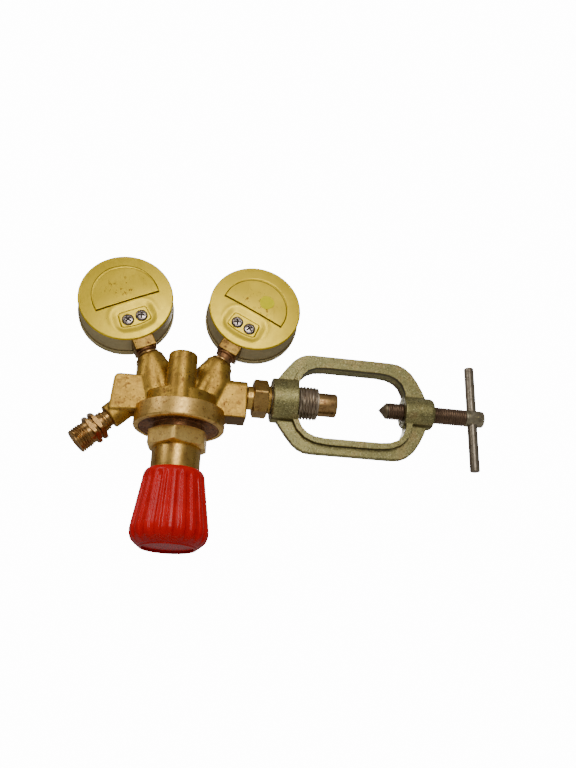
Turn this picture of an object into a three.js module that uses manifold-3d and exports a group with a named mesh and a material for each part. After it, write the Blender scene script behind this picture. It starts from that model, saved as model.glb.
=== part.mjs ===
// Gas cylinder pressure regulator: forged body, two gauges, spring bonnet with a red knob,
// hose outlet, and a swivelling yoke with a clamp screw that holds it on a cylinder valve.
//
// Millimetres, +Z up. The regulator's spring axis is vertical, its inlet runs along +X, and the
// gauges' dials face +Y. The origin is the centre of the inlet nozzle's end face.
// Inside the "regulator" group the origin is where the spring axis meets the inlet axis.

import * as THREE from 'three';
import { mergeVertices } from 'three/addons/utils/BufferGeometryUtils.js';
import Module from 'manifold-3d';

const wasm = await Module();
wasm.setup();

// ---------------------------------------------------------------- driving dimensions

const GAP = 0.3;                    // left between faces that rest on each other
const RUNNING = 0.1;                // radial clearance of a shaft that turns or slides
const ROUND = 24;                   // facets of the larger round parts
const MEDIUM_ROUND = 16;            // facets of the middle-sized ones
const SMALL_ROUND = 10;             // facets of the small and hidden ones

const nozzle = { end: 96.8, start: 84.9, radius: 7.45, bore: 2.5, pocket: 4.2, pocketDepth: 6 };

const body = {
  flangeRadius: 27.5, flangeTop: -13.4, flangeBottom: -24.6, flangeRounding: 3.4,
  drumRadius: 22.2, drumTop: -4.4,
  towerX: -1.2, towerY: -14, towerRadius: 8.9, towerTop: 18.8,
  halfDepth: 8,
  rightEnd: 40, rightTop: 8.8, rightBottom: -16.3,
  leftTop: 5.8, leftBottom: -17.8, leftBottomInner: -16.4,
  bonnetBore: 24.2, ledge: -19.5, chamberRadius: 19.5, chamberTop: -12,
  valveBore: 5.5, valveBoreTop: 3,
};

// The rib that carries each gauge boss: it widens from the boss down to the drum, and on its
// inner side it fills the notch towards the tower.
const rib = {
  headDrop: 4, headRadius: 9, innerX: 14.5, innerZ: 15.5, innerRadius: 7,
  waistZ: 5, waistX: { left: 19.5, right: 21.2 }, waistRadius: 9.4,
  footZ: -13, footX: 13.5, footRadius: 10, thickness: 0.5,
};

const outlet = {
  x: -41.7, z: -20.75, angle: 45, bossRadius: 7.9, bossLength: 16, bossFlattening: 0.88,
  socketDepth: 7.2, socketRadius: 5.2,
  passageZ: -13.7, passageRadius: 1.6,
};

const inlet = {
  shankStart: 27, shank: 6, neck: 7.4, hexStart: 43.6, hexEnd: 52.9, hexFlats: 21.4,
  collar: 8.9, collarEnd: 54.9, spigot: 5.9, spigotEnd: 73.7,
};

const sleeve = { start: 55.2, shoulder: 72.3, end: 84.6, journal: 8.4, thread: 10.5, bore: 6.2 };

const yoke = {
  bossStart: 55.3, bossEnd: 71, bossRadius: 14.1,
  windowStart: 72, windowEnd: 142, windowHalf: 23.5, windowCorner: 10,
  rimWidth: 4.4, rimHalfDepth: 5.5, webHalfDepth: 2.2,
  outerHalf: 33.2, farBossStart: 140.4, farBossEnd: 160.3, farBossRadius: 10.3,
};

const clampScrew = {
  tip: 124.6, radius: 5.4, end: 194.8, barX: 187.6, barRadius: 3, barHalf: 35.6,
};

const bonnet = {
  discRadius: 23.9, discTop: -21.1, discBottom: -24.4, neck: 15.5,
  hexTop: -27.05, hexBottom: -37.2, hexFlats: 33.6, hexTurn: 8.2,
  barrel: 14.6, end: -66, springBore: 12.2, springBoreEnd: -56,
};

const knob = {
  top: -51.2, shoulder: 18, widest: 23, widestZ: -87.2, bottom: -95.2, endRadius: 16.4,
  opening: 15.1, cavityEnd: -76, rimHeight: 1.2, flutes: 20, fluteDepth: 0.8,
};

const adjustingScrew = { radius: 5, top: -51.3, end: -90 };

const spring = { radius: 8.6, wire: 1.25, top: -23.4, bottom: -47.4, turns: 5 };

const gauge = {
  x: 40.9, z: 58.4, tilt: 26.5, zeroMark: 132.5,
  radius: 29.6, back: -9, rounding: 1.5, wall: 0.8, caseFront: 11.4, front: 14.3, bezelRadius: 30.7,
  screwX: 4.4, screwZ: -15.8, screwHead: 3.1,
  padHalf: 9, padTop: -8.5, padBottom: -19.4, padDepth: 1.2,
  squareHalf: 7, squareEnd: 36, neck: 5.4, bossTop: 41.1, bossRadius: 8.9, bossRounding: 4.2,
  thread: 4.9, threadLength: 9.9,
  unscrewed: { left: -1.4, right: 1.35 },     // how far each one stands out from the mean
};

// ---------------------------------------------------------------- materials

const paint = (color, roughness, metalness) =>
  new THREE.MeshStandardMaterial({ color, roughness, metalness });

const material = {
  forgedBrass: paint(0x8f6b36, 0.45, 0.9),
  brightBrass: paint(0xb08a4a, 0.35, 0.95),
  redBrass: paint(0x8f5a2c, 0.4, 0.9),
  goldPaint: paint(0xc2a753, 0.42, 0.5),
  redPlastic: paint(0xb5140f, 0.25, 0),
  zincPlate: paint(0x9a9060, 0.55, 0.7),
  darkSteel: paint(0x46382f, 0.5, 0.8),
  brightSteel: paint(0xa9a294, 0.4, 0.9),
  springSteel: paint(0x77787a, 0.35, 0.9),
  rubber: paint(0x1c1b1a, 0.8, 0),
  nylon: paint(0xe6e0cf, 0.5, 0),
  bronze: paint(0x9a6a35, 0.8, 0.6),
  dialWhite: paint(0xeeece4, 0.6, 0),
  black: paint(0x151515, 0.4, 0),
  glass: new THREE.MeshStandardMaterial({
    color: 0xdfe8ea, roughness: 0.05, metalness: 0, transparent: true, opacity: 0.35,
  }),
};

// ---------------------------------------------------------------- solids and booleans

// A closed three.js geometry as a manifold solid, whichever way its faces were wound.
function solid(geometry) {
  const bare = geometry.clone();
  bare.deleteAttribute('normal');
  bare.deleteAttribute('uv');
  const merged = mergeVertices(bare, 1e-4);
  const position = merged.attributes.position;
  const corners = [];
  let volume = 0;
  const [a, b, c] = [new THREE.Vector3(), new THREE.Vector3(), new THREE.Vector3()];
  for (let i = 0; i < merged.index.count; i += 3) {
    const [p, q, r] = [0, 1, 2].map((k) => merged.index.getX(i + k));
    if (p === q || q === r || r === p) continue;
    a.fromBufferAttribute(position, p);
    b.fromBufferAttribute(position, q);
    c.fromBufferAttribute(position, r);
    volume += a.dot(b.cross(c));
    corners.push(p, q, r);
  }
  if (volume < 0) corners.reverse();
  return new wasm.Manifold(new wasm.Mesh({
    numProp: 3,
    vertProperties: new Float32Array(position.array),
    triVerts: new Uint32Array(corners),
  }));
}

function geometryOf(manifold) {
  const mesh = manifold.getMesh();
  const geometry = new THREE.BufferGeometry();
  geometry.setAttribute('position', new THREE.BufferAttribute(mesh.vertProperties, 3));
  geometry.setIndex(new THREE.BufferAttribute(mesh.triVerts, 1));
  geometry.computeVertexNormals();
  return geometry;
}

const join = (first, ...others) => others.reduce((sum, piece) => sum.add(piece), first);
const cut = (first, ...tools) => tools.reduce((rest, tool) => rest.subtract(tool), first);

const toX = new THREE.Matrix4().makeRotationY(Math.PI / 2);     // an axis along Z is laid along X
const toY = new THREE.Matrix4().makeRotationX(-Math.PI / 2);    // an axis along Z is laid along Y

// A solid of revolution about Z from [radius, height] points.
function turned(points, facets = ROUND) {
  const profile = points.map(([radius, height]) => new THREE.Vector2(radius, height));
  if (points[0][0] > 0) profile.push(profile[0].clone());
  const geometry = new THREE.LatheGeometry(profile, facets);
  geometry.rotateX(Math.PI / 2);
  return solid(geometry);
}

const turnedX = (points, facets) => turned(points, facets).transform(toX.elements);
const turnedY = (points, facets) => turned(points, facets).transform(toY.elements);
const rod = (radius, from, to, facets) => turned([[0, from], [radius, from], [radius, to], [0, to]], facets);
const rodX = (radius, from, to, facets) => rod(radius, from, to, facets).transform(toX.elements);
const rodY = (radius, from, to, facets) => rod(radius, from, to, facets).transform(toY.elements);

function block([x0, y0, z0], [x1, y1, z1]) {
  const geometry = new THREE.BoxGeometry(x1 - x0, y1 - y0, z1 - z0);
  geometry.translate((x0 + x1) / 2, (y0 + y1) / 2, (z0 + z1) / 2);
  return solid(geometry);
}

// An outline in the XZ plane, given depth from y0 to y1.
function plate(shape, y0, y1, curveSegments = 4) {
  const geometry = new THREE.ExtrudeGeometry(shape, { depth: y1 - y0, bevelEnabled: false, curveSegments });
  geometry.rotateX(Math.PI / 2);
  geometry.translate(0, y1, 0);
  return solid(geometry);
}

function polygon(points) {
  return new THREE.Shape(points.map(([x, y]) => new THREE.Vector2(x, y)));
}

function roundedRectangle(x0, y0, x1, y1, radius) {
  const shape = new THREE.Shape();
  shape.moveTo(x0 + radius, y0);
  shape.lineTo(x1 - radius, y0);
  shape.absarc(x1 - radius, y0 + radius, radius, -Math.PI / 2, 0);
  shape.lineTo(x1, y1 - radius);
  shape.absarc(x1 - radius, y1 - radius, radius, 0, Math.PI / 2);
  shape.lineTo(x0 + radius, y1);
  shape.absarc(x0 + radius, y1 - radius, radius, Math.PI / 2, Math.PI);
  shape.lineTo(x0, y0 + radius);
  shape.absarc(x0 + radius, y0 + radius, radius, Math.PI, 1.5 * Math.PI);
  return shape;
}

// Points of a quarter-round edge between two directions, as [radius, height] pairs.
function roundEdge(radius, height, size, fromDegrees, toDegrees, steps = 2) {
  return Array.from({ length: steps + 1 }, (_, i) => {
    const angle = THREE.MathUtils.degToRad(fromDegrees + (toDegrees - fromDegrees) * i / steps);
    return [radius + size * Math.cos(angle), height + size * Math.sin(angle)];
  });
}

// A hexagon bar about Z with its corners turned off at both ends.
function hexagon(flats, from, to, turn = 0) {
  const corner = flats / Math.sqrt(3);
  const outline = polygon(Array.from({ length: 6 }, (_, i) => {
    const angle = THREE.MathUtils.degToRad(turn + 60 * i);
    return [corner * Math.cos(angle), corner * Math.sin(angle)];
  }));
  const geometry = new THREE.ExtrudeGeometry(outline, { depth: to - from, bevelEnabled: false });
  geometry.translate(0, 0, from);
  const face = flats / 2 - 0.2;
  const widest = corner + 0.2;
  const rise = (widest - face) / 2;
  const envelope = turned([
    [0, from], [face, from], [widest, from + rise], [widest, to - rise], [face, to], [0, to],
  ]);
  return solid(geometry).intersect(envelope);
}

// A coil spring about Z: one closed tube that follows a helix.
function coil(radius, wire, bottom, top, turns, stepsPerTurn = 12, sides = 6) {
  class Helix extends THREE.Curve {
    getPoint(t, target = new THREE.Vector3()) {
      const angle = 2 * Math.PI * turns * t;
      const height = bottom + wire + (top - bottom - 2 * wire) * t;
      return target.set(radius * Math.cos(angle), radius * Math.sin(angle), height);
    }
  }
  const section = new THREE.Shape();
  section.absarc(0, 0, wire, 0, 2 * Math.PI);
  return solid(new THREE.ExtrudeGeometry(section, {
    extrudePath: new Helix(), steps: turns * stepsPerTurn, curveSegments: sides, bevelEnabled: false,
  }));
}

function add(group, name, manifold, look) {
  const mesh = new THREE.Mesh(geometryOf(manifold.simplify(0.004)), look);
  mesh.name = name;
  group.add(mesh);
  return mesh;
}

// A group whose +Z axis lies along a direction in the XZ plane, measured from +Z towards +X.
function turnedGroup(parent, x, z, degrees) {
  const group = new THREE.Group();
  group.position.set(x, 0, z);
  group.rotation.y = THREE.MathUtils.degToRad(degrees);
  parent.add(group);
  group.updateMatrix();
  return group;
}

// ---------------------------------------------------------------- the whole

const root = new THREE.Group();
const regulator = new THREE.Group();
regulator.position.x = -nozzle.end;
root.add(regulator);

const outletGroup = turnedGroup(regulator, outlet.x, outlet.z, 180 + outlet.angle);
const bossGroups = {
  left: turnedGroup(regulator, -gauge.x, gauge.z, -gauge.tilt),
  right: turnedGroup(regulator, gauge.x, gauge.z, gauge.tilt),
};
const gaugeGroups = { left: gaugeGroup('left'), right: gaugeGroup('right') };

// A gauge's own axes: those of its boss, moved along the stem by how far it is unscrewed.
function gaugeGroup(side) {
  const sign = side === 'left' ? -1 : 1;
  const tilt = THREE.MathUtils.degToRad(gauge.tilt);
  const out = gauge.unscrewed[side];
  const x = sign * (gauge.x + out * Math.sin(tilt));
  return turnedGroup(regulator, x, gauge.z + out * Math.cos(tilt), sign * gauge.tilt);
}

// ---------------------------------------------------------------- forged body

function rightBlock() {
  const section = new THREE.Shape();
  const { halfDepth: half, rightTop: top, rightBottom: bottom } = body;
  const [upper, lower] = [4, 0.6];
  section.moveTo(-half + lower, bottom);
  section.lineTo(half - lower, bottom);
  section.lineTo(half, bottom + lower);
  section.lineTo(half, top - upper);
  section.absarc(half - upper, top - upper, upper, 0, Math.PI / 2);
  section.lineTo(-half + upper, top);
  section.absarc(-half + upper, top - upper, upper, Math.PI / 2, Math.PI);
  section.lineTo(-half, bottom + lower);
  const geometry = new THREE.ExtrudeGeometry(section, {
    depth: body.rightEnd, bevelEnabled: false, curveSegments: 3,
  });
  geometry.rotateX(Math.PI / 2);
  geometry.rotateZ(Math.PI / 2);
  return solid(geometry);
}

function leftBlock() {
  const { leftTop: top, leftBottom: bottom, leftBottomInner: inner, halfDepth: half } = body;
  const outline = new THREE.Shape();
  outline.moveTo(0, top);
  outline.lineTo(-37.4, top);
  outline.quadraticCurveTo(-41, top, -41.2, top - 3.6);
  outline.lineTo(-42.4, bottom + 1.6);
  outline.quadraticCurveTo(-42.5, bottom, -41, bottom);
  outline.lineTo(-25, inner);
  outline.lineTo(0, inner);
  return plate(outline, -half, half, 4);
}

function outletBoss() {
  const { bossRadius: radius, bossLength: length } = outlet;
  return turned([[0, -length], [radius, -length], [radius, -0.5], [radius - 0.5, 0], [0, 0]])
    .scale([1, outlet.bossFlattening, 1]).transform(outletGroup.matrix.elements);
}

function gaugeBoss(group) {
  const { bossTop, bossRadius, bossRounding: shoulder } = gauge;
  return turned([
    [0, -73], [bossRadius, -73],
    ...roundEdge(bossRadius - shoulder, -bossTop - shoulder, shoulder, 0, 90),
    [0, -bossTop],
  ]).transform(group.matrix.elements);
}

function gaugeRib(side) {
  const sign = side === 'left' ? -1 : 1;
  const disc = (radius) => rod(radius, 0, rib.thickness, MEDIUM_ROUND);
  return wasm.Manifold.hull([
    disc(rib.headRadius).translate([0, 0, -gauge.bossTop - rib.headDrop])
      .transform(bossGroups[side].matrix.elements),
    disc(rib.innerRadius).translate([sign * rib.innerX, 0, rib.innerZ]),
    disc(rib.waistRadius).translate([sign * rib.waistX[side], 0, rib.waistZ]),
    disc(rib.footRadius).translate([sign * rib.footX, 0, rib.footZ]),
  ]);
}

function gaugePassage(group, passageEnd) {
  return join(
    rod(gauge.thread + GAP, -gauge.bossTop - gauge.threadLength - 0.5, -gauge.bossTop + 1, SMALL_ROUND),
    rod(1.5, -passageEnd, -gauge.bossTop - gauge.threadLength, 8),
  ).transform(group.matrix.elements);
}

function bodyCasting() {
  const { flangeRadius, flangeTop, flangeBottom, flangeRounding } = body;
  const flange = turned([
    [0, flangeBottom],
    ...roundEdge(flangeRadius - flangeRounding, flangeBottom + flangeRounding, flangeRounding, -90, 0),
    [flangeRadius, flangeTop - 0.8], [flangeRadius - 0.8, flangeTop], [0, flangeTop],
  ]);
  const drum = turned([
    [0, flangeTop - 2], [body.drumRadius, flangeTop - 2],
    [body.drumRadius, body.drumTop - 1], [body.drumRadius - 1, body.drumTop], [0, body.drumTop],
  ]);
  const tower = turned([
    [0, flangeTop - 2], [body.towerRadius, flangeTop - 2],
    ...roundEdge(body.towerRadius - 1.6, body.towerTop - 1.3, 1.3, 0, 90),
    [0, body.towerTop],
  ], MEDIUM_ROUND).translate([body.towerX, body.towerY, 0]);
  const outletBore = join(
    rod(outlet.socketRadius, -outlet.socketDepth, 1, SMALL_ROUND),
    rod(2.6, -11, 0, 12),
  ).transform(outletGroup.matrix.elements);
  const outletPassage = rodX(outlet.passageRadius, -35.5, -body.chamberRadius + 1, 12)
    .translate([0, 0, outlet.passageZ]);
  const lowPassage = rod(1.5, body.chamberTop - 1, -3.4, 8).translate([-10, 0, 0]);
  return cut(
    join(flange, drum, tower, rightBlock(), leftBlock(), outletBoss(),
      gaugeBoss(bossGroups.left), gaugeBoss(bossGroups.right), gaugeRib('left'), gaugeRib('right')),
    rod(body.bonnetBore, flangeBottom - 1, body.ledge),
    rod(body.chamberRadius, body.ledge - 1, body.chamberTop),
    rod(body.valveBore, body.chamberTop - 1, body.valveBoreTop, MEDIUM_ROUND),
    rodX(inlet.shank + GAP, inlet.shankStart - GAP, body.rightEnd + 1, MEDIUM_ROUND),
    rodX(2.5, 4, inlet.shankStart, 12),
    gaugePassage(bossGroups.right, 64.5),
    gaugePassage(bossGroups.left, 69.3),
    outletBore, outletPassage, lowPassage,
  );
}

add(regulator, 'body_casting', bodyCasting(), material.forgedBrass);

// ---------------------------------------------------------------- inlet side, about the X axis

const inletHex = hexagon(inlet.hexFlats, inlet.hexStart, inlet.hexEnd, 27).transform(toX.elements);
const stemRound = turnedX([
  [nozzle.bore, inlet.shankStart], [inlet.shank, inlet.shankStart],
  [inlet.shank, body.rightEnd + GAP], [inlet.neck, body.rightEnd + GAP], [inlet.neck, inlet.hexEnd - 1],
  [inlet.collar, inlet.hexEnd - 1], [inlet.collar, inlet.collarEnd], [inlet.spigot, inlet.collarEnd],
  [inlet.spigot, inlet.spigotEnd], [nozzle.bore, inlet.spigotEnd],
]);
const stemBore = rodX(nozzle.bore, inlet.shankStart - 1, inlet.spigotEnd + 1);
add(regulator, 'inlet_stem', cut(join(stemRound, inletHex), stemBore), material.brightBrass);

add(regulator, 'yoke_sleeve', turnedX([
  [sleeve.bore, sleeve.start], [sleeve.journal, sleeve.start], [sleeve.journal, sleeve.shoulder],
  [sleeve.thread - 0.9, sleeve.shoulder], [sleeve.thread, sleeve.shoulder + 0.9],
  [sleeve.thread, sleeve.end - 0.9], [sleeve.thread - 0.9, sleeve.end], [sleeve.bore, sleeve.end],
]), material.darkSteel);

add(regulator, 'inlet_nozzle', turnedX([
  [nozzle.bore, inlet.spigotEnd + GAP], [sleeve.bore - GAP, inlet.spigotEnd + GAP],
  [sleeve.bore - GAP, nozzle.start], [nozzle.radius, nozzle.start],
  [nozzle.radius, nozzle.end - 0.8], [nozzle.radius - 0.8, nozzle.end],
  [nozzle.pocket, nozzle.end], [nozzle.pocket, nozzle.end - nozzle.pocketDepth],
  [nozzle.bore, nozzle.end - nozzle.pocketDepth],
]), material.redBrass);

add(regulator, 'inlet_filter',
  rodX(nozzle.pocket - GAP, nozzle.end - nozzle.pocketDepth + GAP, nozzle.end - 3, SMALL_ROUND),
  material.bronze);

// ---------------------------------------------------------------- outlet fitting, in the outlet's frame

function outletFitting() {
  const groove = turned([[7.2, 10.3], [11, 9.1], [11, 11.5]], MEDIUM_ROUND);
  const hex = cut(hexagon(17, 6.7, 13.8), groove);
  const stem = turned([
    [0, -outlet.socketDepth + GAP], [outlet.socketRadius - GAP, -outlet.socketDepth + GAP],
    [outlet.socketRadius - GAP, GAP], [6.1, GAP], [6.1, 5.4], [6.9, 5.6], [6.9, 7],
    [7.1, 7], [7.1, 16.2], [7.8, 16.2], [7.8, 23.6], [7.1, 24.4], [0, 24.4],
  ], MEDIUM_ROUND);
  const bore = turned([[0, -10], [2.6, -10], [2.6, 22], [5.2, 24.6], [0, 24.6]], MEDIUM_ROUND);
  return cut(join(stem, hex), bore);
}

add(outletGroup, 'outlet_fitting', outletFitting(), material.redBrass);

// ---------------------------------------------------------------- yoke, clamp screw, tommy bar

function yokeOutline() {
  const shape = new THREE.Shape();
  const half = yoke.outerHalf;
  shape.moveTo(57.5, -12);
  shape.lineTo(69.8, -28.2);
  shape.quadraticCurveTo(73.8, -half, 81, -half);
  shape.lineTo(133, -half);
  shape.quadraticCurveTo(142.5, -half, 147, -26.8);
  shape.lineTo(156.5, -9.8);
  shape.lineTo(156.5, 9.8);
  shape.lineTo(147, 26.8);
  shape.quadraticCurveTo(142.5, half, 133, half);
  shape.lineTo(81, half);
  shape.quadraticCurveTo(73.8, half, 69.8, 28.2);
  shape.lineTo(57.5, 12);
  return shape;
}

function yokeCasting() {
  const { windowStart: x0, windowEnd: x1, windowHalf: half, windowCorner: corner, rimWidth: rim } = yoke;
  const web = plate(yokeOutline(), -yoke.webHalfDepth, yoke.webHalfDepth);
  const band = plate(roundedRectangle(x0 - rim, -half - rim, x1 + rim, half + rim, corner + rim),
    -yoke.rimHalfDepth, yoke.rimHalfDepth);
  const window = plate(roundedRectangle(x0, -half, x1, half, corner), -20, 20);
  const boss = turnedX([
    [0, yoke.bossStart], [yoke.bossRadius - 0.8, yoke.bossStart],
    [yoke.bossRadius, yoke.bossStart + 0.8], [yoke.bossRadius, yoke.bossEnd], [0, yoke.bossEnd],
  ]);
  const farBoss = turnedX([
    [0, yoke.farBossStart], [yoke.farBossRadius, yoke.farBossStart],
    ...roundEdge(yoke.farBossRadius - 2.2, yoke.farBossEnd - 2.2, 2.2, 0, 90),
    [0, yoke.farBossEnd],
  ]);
  return cut(
    join(cut(join(web, band), window), boss, farBoss),
    rodX(sleeve.journal + RUNNING, yoke.bossStart - 1, yoke.windowStart + 1),
    rodX(clampScrew.radius + RUNNING, yoke.farBossStart - 1, yoke.farBossEnd + 1),
  );
}

add(regulator, 'yoke', yokeCasting(), material.zincPlate);

const coneEnd = clampScrew.tip + clampScrew.radius;
add(regulator, 'clamp_screw_point', turnedX([
  [0, clampScrew.tip], [clampScrew.radius, coneEnd], [0, coneEnd],
]), material.darkSteel);

add(regulator, 'clamp_screw', cut(
  turnedX([
    [0, coneEnd + GAP], [clampScrew.radius, coneEnd + GAP], [clampScrew.radius, clampScrew.end - 1],
    [clampScrew.radius - 1, clampScrew.end], [0, clampScrew.end],
  ]),
  rod(clampScrew.barRadius + GAP, -10, 10, SMALL_ROUND).translate([clampScrew.barX, 0, 0]),
), material.darkSteel);

add(regulator, 'tommy_bar', turned([
  [0, -clampScrew.barHalf], [clampScrew.barRadius - 0.6, -clampScrew.barHalf],
  [clampScrew.barRadius, -clampScrew.barHalf + 0.6], [clampScrew.barRadius, clampScrew.barHalf - 0.6],
  [clampScrew.barRadius - 0.6, clampScrew.barHalf], [0, clampScrew.barHalf],
], SMALL_ROUND).translate([clampScrew.barX, 0, 0]), material.brightSteel);

// ---------------------------------------------------------------- bonnet and what it covers

function bonnetPiece() {
  const shell = turned([
    [0, bonnet.discTop], [bonnet.discRadius, bonnet.discTop], [bonnet.discRadius, bonnet.discBottom],
    [bonnet.discRadius - 1.2, bonnet.discBottom], [bonnet.neck + 1, -22.9], [bonnet.neck, -23.5],
    [bonnet.neck, bonnet.hexBottom + 1], [bonnet.barrel, bonnet.hexBottom + 1],
    [bonnet.barrel, bonnet.end + 1], [bonnet.barrel - 1, bonnet.end], [0, bonnet.end],
  ]);
  const hex = hexagon(bonnet.hexFlats, bonnet.hexBottom, bonnet.hexTop, -90 - bonnet.hexTurn);
  return cut(
    join(shell, hex),
    rod(bonnet.springBore, bonnet.springBoreEnd, bonnet.discTop + 1),
    rod(adjustingScrew.radius + RUNNING, bonnet.end - 1, bonnet.springBoreEnd + 1),
  );
}

add(regulator, 'bonnet', bonnetPiece(), material.brightBrass);

add(regulator, 'diaphragm', turned([
  [2.4, -20.8], [14, -20.8], [16, -20.3], [18, -20.8], [23.6, -20.8],
  [23.6, -19.8], [18, -19.8], [16, -19.3], [14, -19.8], [2.4, -19.8],
]), material.rubber);

add(regulator, 'diaphragm_plate', turned([
  [0, -24.2], [4, -24.2], [4, -23.1], [11, -23.1], [11, -21.6], [2, -21.6], [2, -17.2], [0, -17.2],
], MEDIUM_ROUND), material.brightBrass);

add(regulator, 'diaphragm_washer', turned([[2.3, -19.5], [9, -19.5], [9, -18.5], [2.3, -18.5]], MEDIUM_ROUND),
  material.brightBrass);

add(regulator, 'push_pin', rod(0.9, -16.9, -8, 8), material.brightSteel);

add(regulator, 'valve_seat', turned([
  [1.8, -14.2], [6.8, -14.2], [6.8, -12.3], [5.2, -12.3], [5.2, -8.8], [2.6, -8.8], [2.6, -8], [1.8, -8],
], MEDIUM_ROUND), material.brightBrass);

add(regulator, 'valve_poppet', turned([
  [0, -7.7], [3.4, -7.7], [3.4, -4.4], [1.4, -4.4], [1.4, -1.6], [0, -1.6],
], SMALL_ROUND), material.nylon);

add(regulator, 'poppet_spring', coil(2.7, 0.4, -4, body.valveBoreTop - GAP, 4, 8, 2), material.springSteel);

add(regulator, 'main_spring',
  coil(spring.radius, spring.wire, spring.bottom, spring.top, spring.turns, 10, 3), material.springSteel);

add(regulator, 'spring_button', turned([
  [0, -51], [4.5, -51], [4.5, -49.8], [10.6, -49.8], [10.6, -47.8], [6.4, -47.8], [5.6, -45.6], [0, -45.6],
], MEDIUM_ROUND), material.brightBrass);

// ---------------------------------------------------------------- knob

function fluted(manifold) {
  const grooves = [];
  for (let i = 0; i < knob.flutes; i++) {
    const blade = polygon([
      [knob.shoulder - knob.fluteDepth, knob.top - 4], [knob.shoulder + 9, knob.top - 4],
      [knob.widest + 9, knob.widestZ - 3], [knob.widest - knob.fluteDepth, knob.widestZ - 1],
    ]);
    grooves.push(plate(blade, -0.7, 0.7).rotate([0, 0, 360 * (i + 0.5) / knob.flutes]));
  }
  return cut(manifold, ...grooves);
}

function knobShell() {
  const { top, shoulder, widest, widestZ, bottom, endRadius, rimHeight } = knob;
  const outside = turned([
    [0, top], [shoulder - 2.6, top], [shoulder - 0.7, top - 0.8], [shoulder, top - 2.6],
    [widest, widestZ], [widest - 0.6, widestZ - 3], [widest - 2.6, widestZ - 5.6],
    [endRadius + 1, bottom], [endRadius, bottom - rimHeight], [0, bottom - rimHeight],
  ]);
  return cut(
    fluted(outside),
    rod(knob.opening, knob.cavityEnd, top + 1),
    rod(adjustingScrew.radius + GAP, adjustingScrew.end - GAP, knob.cavityEnd + 1),
    rod(2.3, bottom + 3, adjustingScrew.end + 1, 12),
    rod(endRadius - 1.6, bottom - rimHeight - 1, bottom + 2),
    rod(4.6, bottom - 2, bottom + 4, 12),
  );
}

add(regulator, 'adjusting_knob', knobShell(), material.redPlastic);

add(regulator, 'adjusting_screw', cut(
  turned([
    [0, adjustingScrew.top], [3.6, adjustingScrew.top], [adjustingScrew.radius, adjustingScrew.top - 1.4],
    [adjustingScrew.radius, adjustingScrew.end], [0, adjustingScrew.end],
  ]),
  rod(2 + GAP, adjustingScrew.end - 1, adjustingScrew.end + 9, 12),
), material.brightSteel);

add(regulator, 'knob_fixing_screw', join(
  rod(4.2, -93.4, -91.5, 12),
  rod(2, -92, -82, 12),
), material.brightSteel);

add(regulator, 'knob_cap', rod(knob.endRadius - 1.9, knob.bottom, knob.bottom + 1.5), material.redPlastic);

// ---------------------------------------------------------------- gauges

function gaugeCase() {
  const { radius, back, rounding, wall, caseFront, padHalf, padTop, padBottom, padDepth } = gauge;
  const inner = radius - wall;
  const cup = turnedY([
    [0, back],
    ...roundEdge(radius - rounding, back + rounding, rounding, -90, 0, 2),
    [radius, caseFront], [inner, caseFront], [inner, back + wall], [0, back + wall],
  ]);
  const pad = (margin, y0, y1) => block(
    [-padHalf - margin, y0, padBottom - margin], [padHalf + margin, y1, padTop + margin],
  );
  const slot = gauge.squareHalf + GAP;
  return cut(
    join(cup, pad(1, back + 0.2, back + padDepth + wall)),
    pad(0, back - 1, back + padDepth),
    block([-slot, -slot, -radius - 1], [slot, slot, -radius + 4]),
    ...[-1, 1].map((side) =>
      rodY(1.8, back - 1, back + 4, 8).translate([side * gauge.screwX, 0, gauge.screwZ])),
  );
}

function gaugeSocket(bossTop) {
  const { squareHalf: half, squareEnd, neck, thread, threadLength } = gauge;
  const threadEnd = bossTop + threadLength;
  const block1 = block([-half, -half, -squareEnd], [half, half, -27.5]);
  const block2 = block([-half, -6.7, -28], [half, 3.6, -5.3]);
  const shank = turned([
    [0, -threadEnd], [thread, -threadEnd], [thread, -bossTop + GAP], [neck, -bossTop + GAP],
    [neck, -squareEnd + 0.5], [0, -squareEnd + 0.5],
  ], SMALL_ROUND);
  return cut(
    join(block1, block2, shank),
    rod(1.25, -threadEnd - 1, -17.4, 8),
    rodX(1, 0, half + 1, 8).translate([0, 0, -18.5]),
    ...[-1, 1].map((side) => rodY(1.8, -7, 1, 8).translate([side * gauge.screwX, 0, gauge.screwZ])),
  );
}

function gaugeScrew(side) {
  const seat = gauge.back + gauge.padDepth;
  return join(
    turnedY([
      [0, seat - 2], [gauge.screwHead - 1.2, seat - 2], [gauge.screwHead - 0.3, seat - 1.6],
      [gauge.screwHead, seat - 0.9], [gauge.screwHead, seat - GAP], [0, seat - GAP],
    ], SMALL_ROUND),
    rodY(1.5, seat - 0.5, 0, 8),
  ).translate([side * gauge.screwX, 0, gauge.screwZ]);
}

// A flattened tube bent to a C about Y, from the socket round to its free tip.
function bourdonTube() {
  const arcRadius = 20.5;
  class Arc extends THREE.Curve {
    getPoint(t, target = new THREE.Vector3()) {
      const angle = THREE.MathUtils.degToRad(-68 + 252 * t);
      return target.set(arcRadius * Math.cos(angle), 0, arcRadius * Math.sin(angle));
    }
  }
  const section = polygon([[-2.5, -0.9], [2.5, -0.9], [2.5, 0.9], [-2.5, 0.9]]);
  return solid(new THREE.ExtrudeGeometry(section, {
    extrudePath: new Arc(), steps: 24, bevelEnabled: false,
  }));
}

// The sector swings about its own pivot and turns the arbor; a link joins its tail to the tube's tip.
const sector = { x: -9.4, z: 5, reach: 8.9, tail: 5, swing: 42, y0: 3.9, y1: 4.9 };
const arbor = { radius: 0.8, gear: 1.4 };
const tubeTip = { x: -20, z: -1.2 };
const toPinion = Math.atan2(-sector.z, -sector.x);
const tailPin = {
  x: sector.x - sector.tail * Math.cos(toPinion),
  z: sector.z - sector.tail * Math.sin(toPinion),
};

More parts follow.
